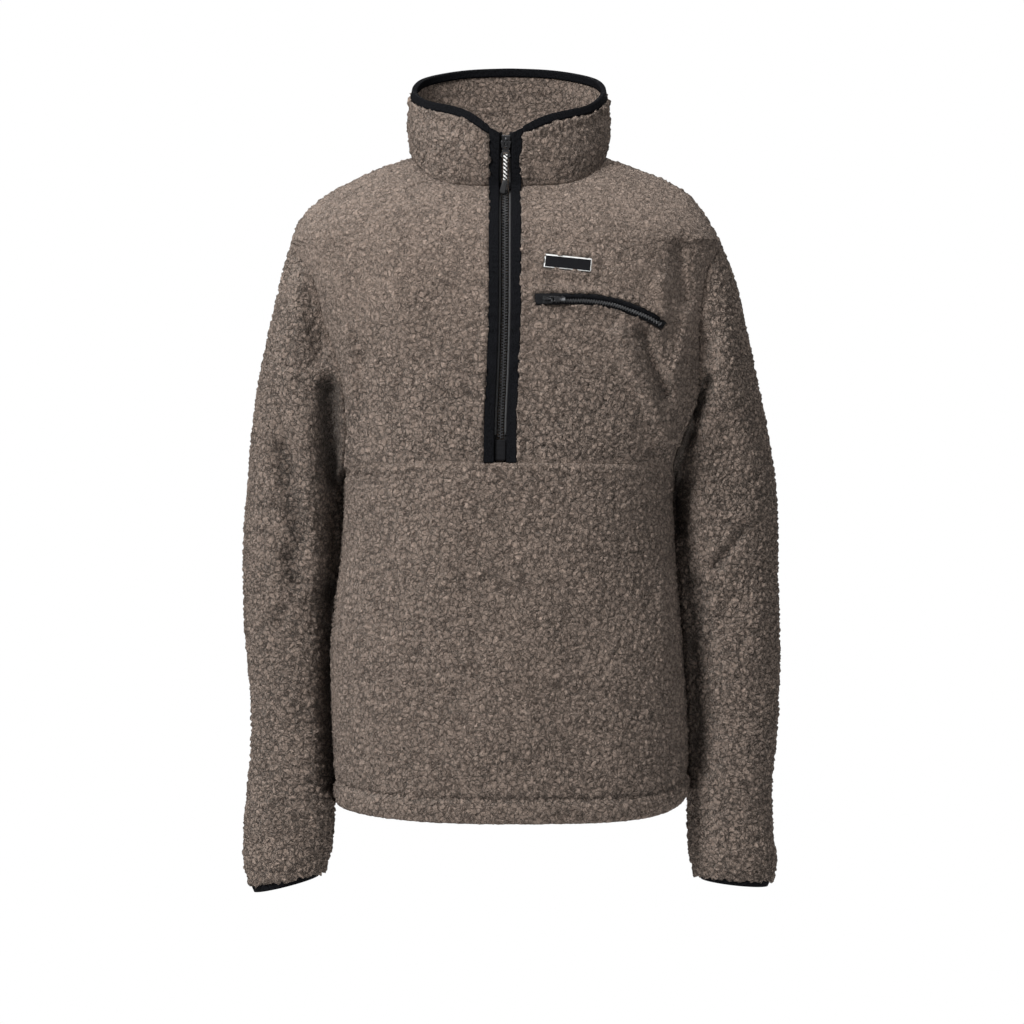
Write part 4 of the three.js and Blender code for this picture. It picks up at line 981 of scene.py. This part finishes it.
def round_tip(made, start):
    """Narrows a strip to a rounded tip from a place along X to its end."""
    spots = np.array([v.co for v in made.data.vertices])
    end = spots[:, 0].max()
    near = spots[spots[:, 0] > start - 6 * MM]
    lean, level = np.polyfit(near[:, 0], near[:, 2], 1)
    for vertex in made.data.vertices:
        share = (vertex.co.x - start) / (end - start)
        if share > 0:
            middle = lean * vertex.co.x + level
            vertex.co.z = middle + (vertex.co.z - middle) * math.sqrt(max(TIP_LEAST, 1 - share * share))


BINDINGS = ("collar_binding", "placket_binding_left", "placket_binding_right", "cuff_binding_left",
            "cuff_binding_right")
TAPES = ("zip_tape_left", "zip_tape_right", "placket_end_tape", "pocket_zip_band")
# node, slot, finish, smoothing rounds, body, bevel
HARD_PARTS = (
    ("zip_slider", "zip_metal", METAL, 0, "garment", 0.4 * MM),
    ("zip_puller", "zip_metal", METAL, 0, "zip_pull", 0.2 * MM),
    ("pull_cord", "pull_cord", CORD, 1, "zip_pull", 0.0),
    ("pull_end", "pull_end", END, 0, "zip_pull", 0.6 * MM),
    ("pocket_slider", "zip_metal", METAL, 0, "garment", 0.25 * MM),
    ("pocket_puller", "zip_metal", METAL, 0, "pocket_pull", 0.2 * MM),
)

binding = {name: trim(name, "binding", KNIT, 2) for name in BINDINGS}
for side in ("left", "right"):
    meet(binding["collar_binding"], binding["placket_binding_" + side])
tape = {name: trim(name, "zip_tape", TAPE) for name in TAPES}
round_tip(tape["pocket_zip_band"], POCKET_TIP)
label_patch = trim("label_patch", "patch", PATCH)
for row in HARD_PARTS:
    trim(*row, split=False)


# The fleece panels, with the trims that press into their pile

PRESSING = {
    "yoke_front_left": (binding["placket_binding_left"], tape["pocket_zip_band"], label_patch),
    "yoke_front_right": (binding["placket_binding_right"],),
    "collar": (binding["collar_binding"], binding["placket_binding_left"],
               binding["placket_binding_right"]),
    "sleeve_left": (binding["cuff_binding_left"],),
    "sleeve_right": (binding["cuff_binding_right"],),
}
PANELS = (
    ("front_lower", torso_away), ("yoke_front_left", torso_away), ("yoke_front_right", torso_away),
    ("back", torso_away), ("sleeve_left", sleeve_away), ("sleeve_right", sleeve_away),
    ("collar", collar_away),
)
panel = {name: dress(name, away, PRESSING.get(name, ())) for name, away in PANELS}


# Zip chains: rows of separate teeth on the solid bar's own line

UP = Vector((0, 0, 1))
ACROSS = Vector((1, 0, 0))
# The bar that a zip's teeth and piping follow, its long axis (0 for X, 2 for Z) and a way across it
FRONT_BAR = ("zip_chain", 2, ACROSS)
POCKET_BAR = ("pocket_chain", 0, UP)
# size is width, length and height; lift and spread are how far a tooth stands out and to its side
FRONT_TEETH = {"pitch": 1.4 * MM, "size": (3.9 * MM, 1.3 * MM, 2.2 * MM), "lift": 0.2 * MM,
               "slant": math.radians(16), "spread": 1.1 * MM}
POCKET_TEETH = {"pitch": 1.25 * MM, "size": (2.9 * MM, 1.15 * MM, 1.7 * MM), "lift": 0.3 * MM,
                "slant": math.radians(14), "spread": 0.5 * MM}
FRONT_PIPING = {"offsets": (-4.9 * MM, 4.9 * MM), "wide": 2.3 * MM, "high": 1.3 * MM, "lift": 0.9 * MM}
POCKET_PIPING = {"offsets": (4.0 * MM,), "wide": 3.6 * MM, "high": 1.8 * MM, "lift": -0.2 * MM}
TOOTH_ROUND = 0.22
PIPING_STEP, PIPING_SIDES = 4 * MM, 10


def bar_line(node, axis, pitch):
    """Middle of a bar at even steps along one axis."""
    work = merged(node, quads=False)
    low = min(v.co[axis] for v in work.verts) + pitch
    high = max(v.co[axis] for v in work.verts) - pitch
    edges = [(e.verts[0].co.copy(), e.verts[1].co.copy()) for e in work.edges]
    work.free()
    stations = []
    for k in range(int((high - low) / pitch) + 1):
        at = low + k * pitch
        crossed = [a.lerp(b, (at - a[axis]) / (b[axis] - a[axis]))
                   for a, b in edges if (a[axis] - at) * (b[axis] - at) < 0]
        lowest = Vector([min(c[n] for c in crossed) for n in range(3)])
        highest = Vector([max(c[n] for c in crossed) for n in range(3)])
        stations.append((lowest + highest) / 2)
    return stations


def bar_frames(bar, pitch):
    """Place of each station on a bar, with the ways along it, across it and out of it."""
    node, axis, side_hint = bar
    stations = bar_line(node, axis, pitch)
    frames = []
    for k, spot in enumerate(stations):
        ahead = stations[min(k + 1, len(stations) - 1)]
        behind = stations[max(k - 1, 0)]
        along = (ahead - behind).normalized()
        out = along.cross(side_hint).normalized()
        if out.y > 0:
            out = -out
        frames.append((spot, along, out.cross(along).normalized(), out))
    return frames


def tooth(width, length, height):
    work = bmesh.new()
    bmesh.ops.create_cube(work, size=1)
    bmesh.ops.scale(work, vec=(width, length, height), verts=work.verts)
    bmesh.ops.bevel(work, geom=work.edges[:], offset=min(length, height) * TOOTH_ROUND, segments=1,
                    profile=0.5, affect="EDGES", material=-1)
    return meshed(work, "tooth", soft=False)


def tooth_row(name, bar, pitch, size, lift, slant, spread):
    """Teeth of a closed zip, leaning to the left and right by turns."""
    one = tooth(*size)
    work = bmesh.new()
    for k, (spot, along, across, out) in enumerate(bar_frames(bar, pitch)):
        side = 1 if k % 2 else -1
        before = len(work.verts)
        work.from_mesh(one)
        work.verts.ensure_lookup_table()
        turn = Matrix((across, along, out)).transposed().to_4x4() @ Matrix.Rotation(side * slant, 4, "Z")
        turn.translation = spot + out * lift + across * side * spread
        bmesh.ops.transform(work, matrix=turn, verts=work.verts[before:])
    bpy.data.meshes.remove(one)
    bmesh.ops.recalc_face_normals(work, faces=work.faces)
    return piece(name, meshed(work, name, soft=False), "garment", TEETH, (bar[0],))


def piping(name, bar, finish, offsets, wide, high, lift):
    """Raised ribs along a zip at some distances beside its middle line."""
    work = bmesh.new()
    frames = bar_frames(bar, PIPING_STEP)
    for offset in offsets:
        edges, last = [], Matrix()
        for spot, along, across, out in frames:
            turn = Matrix((across, out, along)).transposed().to_4x4()
            turn.translation = spot + out * lift + across * offset
            if edges:
                grown = bmesh.ops.extrude_edge_only(work, edges=edges)["geom"]
                verts = {g for g in grown if isinstance(g, bmesh.types.BMVert)}
                edges = [g for g in grown if isinstance(g, bmesh.types.BMEdge) and set(g.verts) <= verts]
            else:
                verts = bmesh.ops.create_circle(work, segments=PIPING_SIDES, radius=0.5)["verts"]
                bmesh.ops.scale(work, vec=(wide, high, 1), verts=verts)
                edges = list({e for v in verts for e in v.link_edges})
                bmesh.ops.edgeloop_fill(work, edges=edges)
            bmesh.ops.transform(work, matrix=turn @ last.inverted(), verts=list(verts))
            last = turn
        bmesh.ops.edgeloop_fill(work, edges=edges)
    bmesh.ops.recalc_face_normals(work, faces=work.faces)
    return piece(name, meshed(work, name), "garment", finish)


tooth_row("zip_teeth", FRONT_BAR, **FRONT_TEETH)
piping("zip_piping", FRONT_BAR, PIPING, **FRONT_PIPING)
tooth_row("pocket_teeth", POCKET_BAR, **POCKET_TEETH)
piping("pocket_piping", POCKET_BAR, KNIT, **POCKET_PIPING)


# Studio: pale floor that fades into a pale surround, and large soft lamps

FLOOR_Z, FLOOR_RADIUS = -1.15, 2.6
FADE_START, FADE_END = 0.25, 1.2
FLOOR_DARK, FLOOR_LIGHT, WHITE = (0.80, 0.80, 0.80), (0.84, 0.84, 0.84), (1, 1, 1)
SEEN_SURROUND, SURROUND_LIGHT = 1.0, 0.27
CHEST = (0, 0, -0.2)
# name, place, side in metres, watts
LAMPS = (
    ("key_lamp", (-1.8, -2.2, 1.7), 0.9, 186),
    ("fill_lamp", (1.7, -2.7, 0.9), 1.3, 20),
    ("top_lamp", (0.0, 0.0, 2.2), 1.3, 30),
    ("rear_lamp", (0.6, 2.6, 1.0), 1.6, 60),
)


def floor_finish():
    made = Finish("floor_paper", roughness=0.9, specular=0.1)
    place = made.place()
    made.set("Base Color", made.mix(made.noise(place, 3.0), FLOOR_DARK, FLOOR_LIGHT))
    x, y, _ = made.axes(place)
    far = made.eased((x * x + y * y) ** 0.5, FADE_START, FADE_END)
    glow = made.node("Emission", {}, {"Color": WHITE, "Strength": 1.0})
    paper = Value(made.tree, made.shader.outputs[0])
    blend = made.node("MixShader", {}, {0: far, 1: paper, 2: glow})
    made.feed(made.tree.nodes["Material Output"].inputs["Surface"], blend)
    return made.material


def floor():
    work = bmesh.new()
    bmesh.ops.create_circle(work, cap_ends=True, radius=FLOOR_RADIUS, segments=96)
    bmesh.ops.translate(work, vec=(0, 0, FLOOR_Z), verts=work.verts)
    mesh = meshed(work, "studio_floor", soft=False)
    mesh.materials.append(floor_finish())
    ground = bpy.data.objects.new("studio_floor", mesh)
    bpy.context.collection.objects.link(ground)


def lamp(name, spot, side, power):
    light = bpy.data.lights.new(name, "AREA")
    light.shape = "SQUARE"
    light.size = side
    light.energy = power
    made = bpy.data.objects.new(name, light)
    made.location = spot
    made.rotation_euler = (Vector(CHEST) - Vector(spot)).to_track_quat("-Z", "Y").to_euler()
    bpy.context.collection.objects.link(made)


def surround():
    """White to look at, and dimmer as a light."""
    world = bpy.data.worlds.new("surround")
    world.use_nodes = True
    made = Nodes(world.node_tree)
    sky = made.tree.nodes["Background"]
    seen = made.node("LightPath", output="Is Camera Ray")
    strength = made.node("MapRange", {}, {"Value": seen, "To Min": SURROUND_LIGHT, "To Max": SEEN_SURROUND})
    made.feed(sky.inputs["Color"], WHITE)
    made.feed(sky.inputs["Strength"], strength)
    bpy.context.scene.world = world


floor()
surround()
for row in LAMPS:
    lamp(*row)
bpy.context.scene.view_settings.view_transform = "Standard"
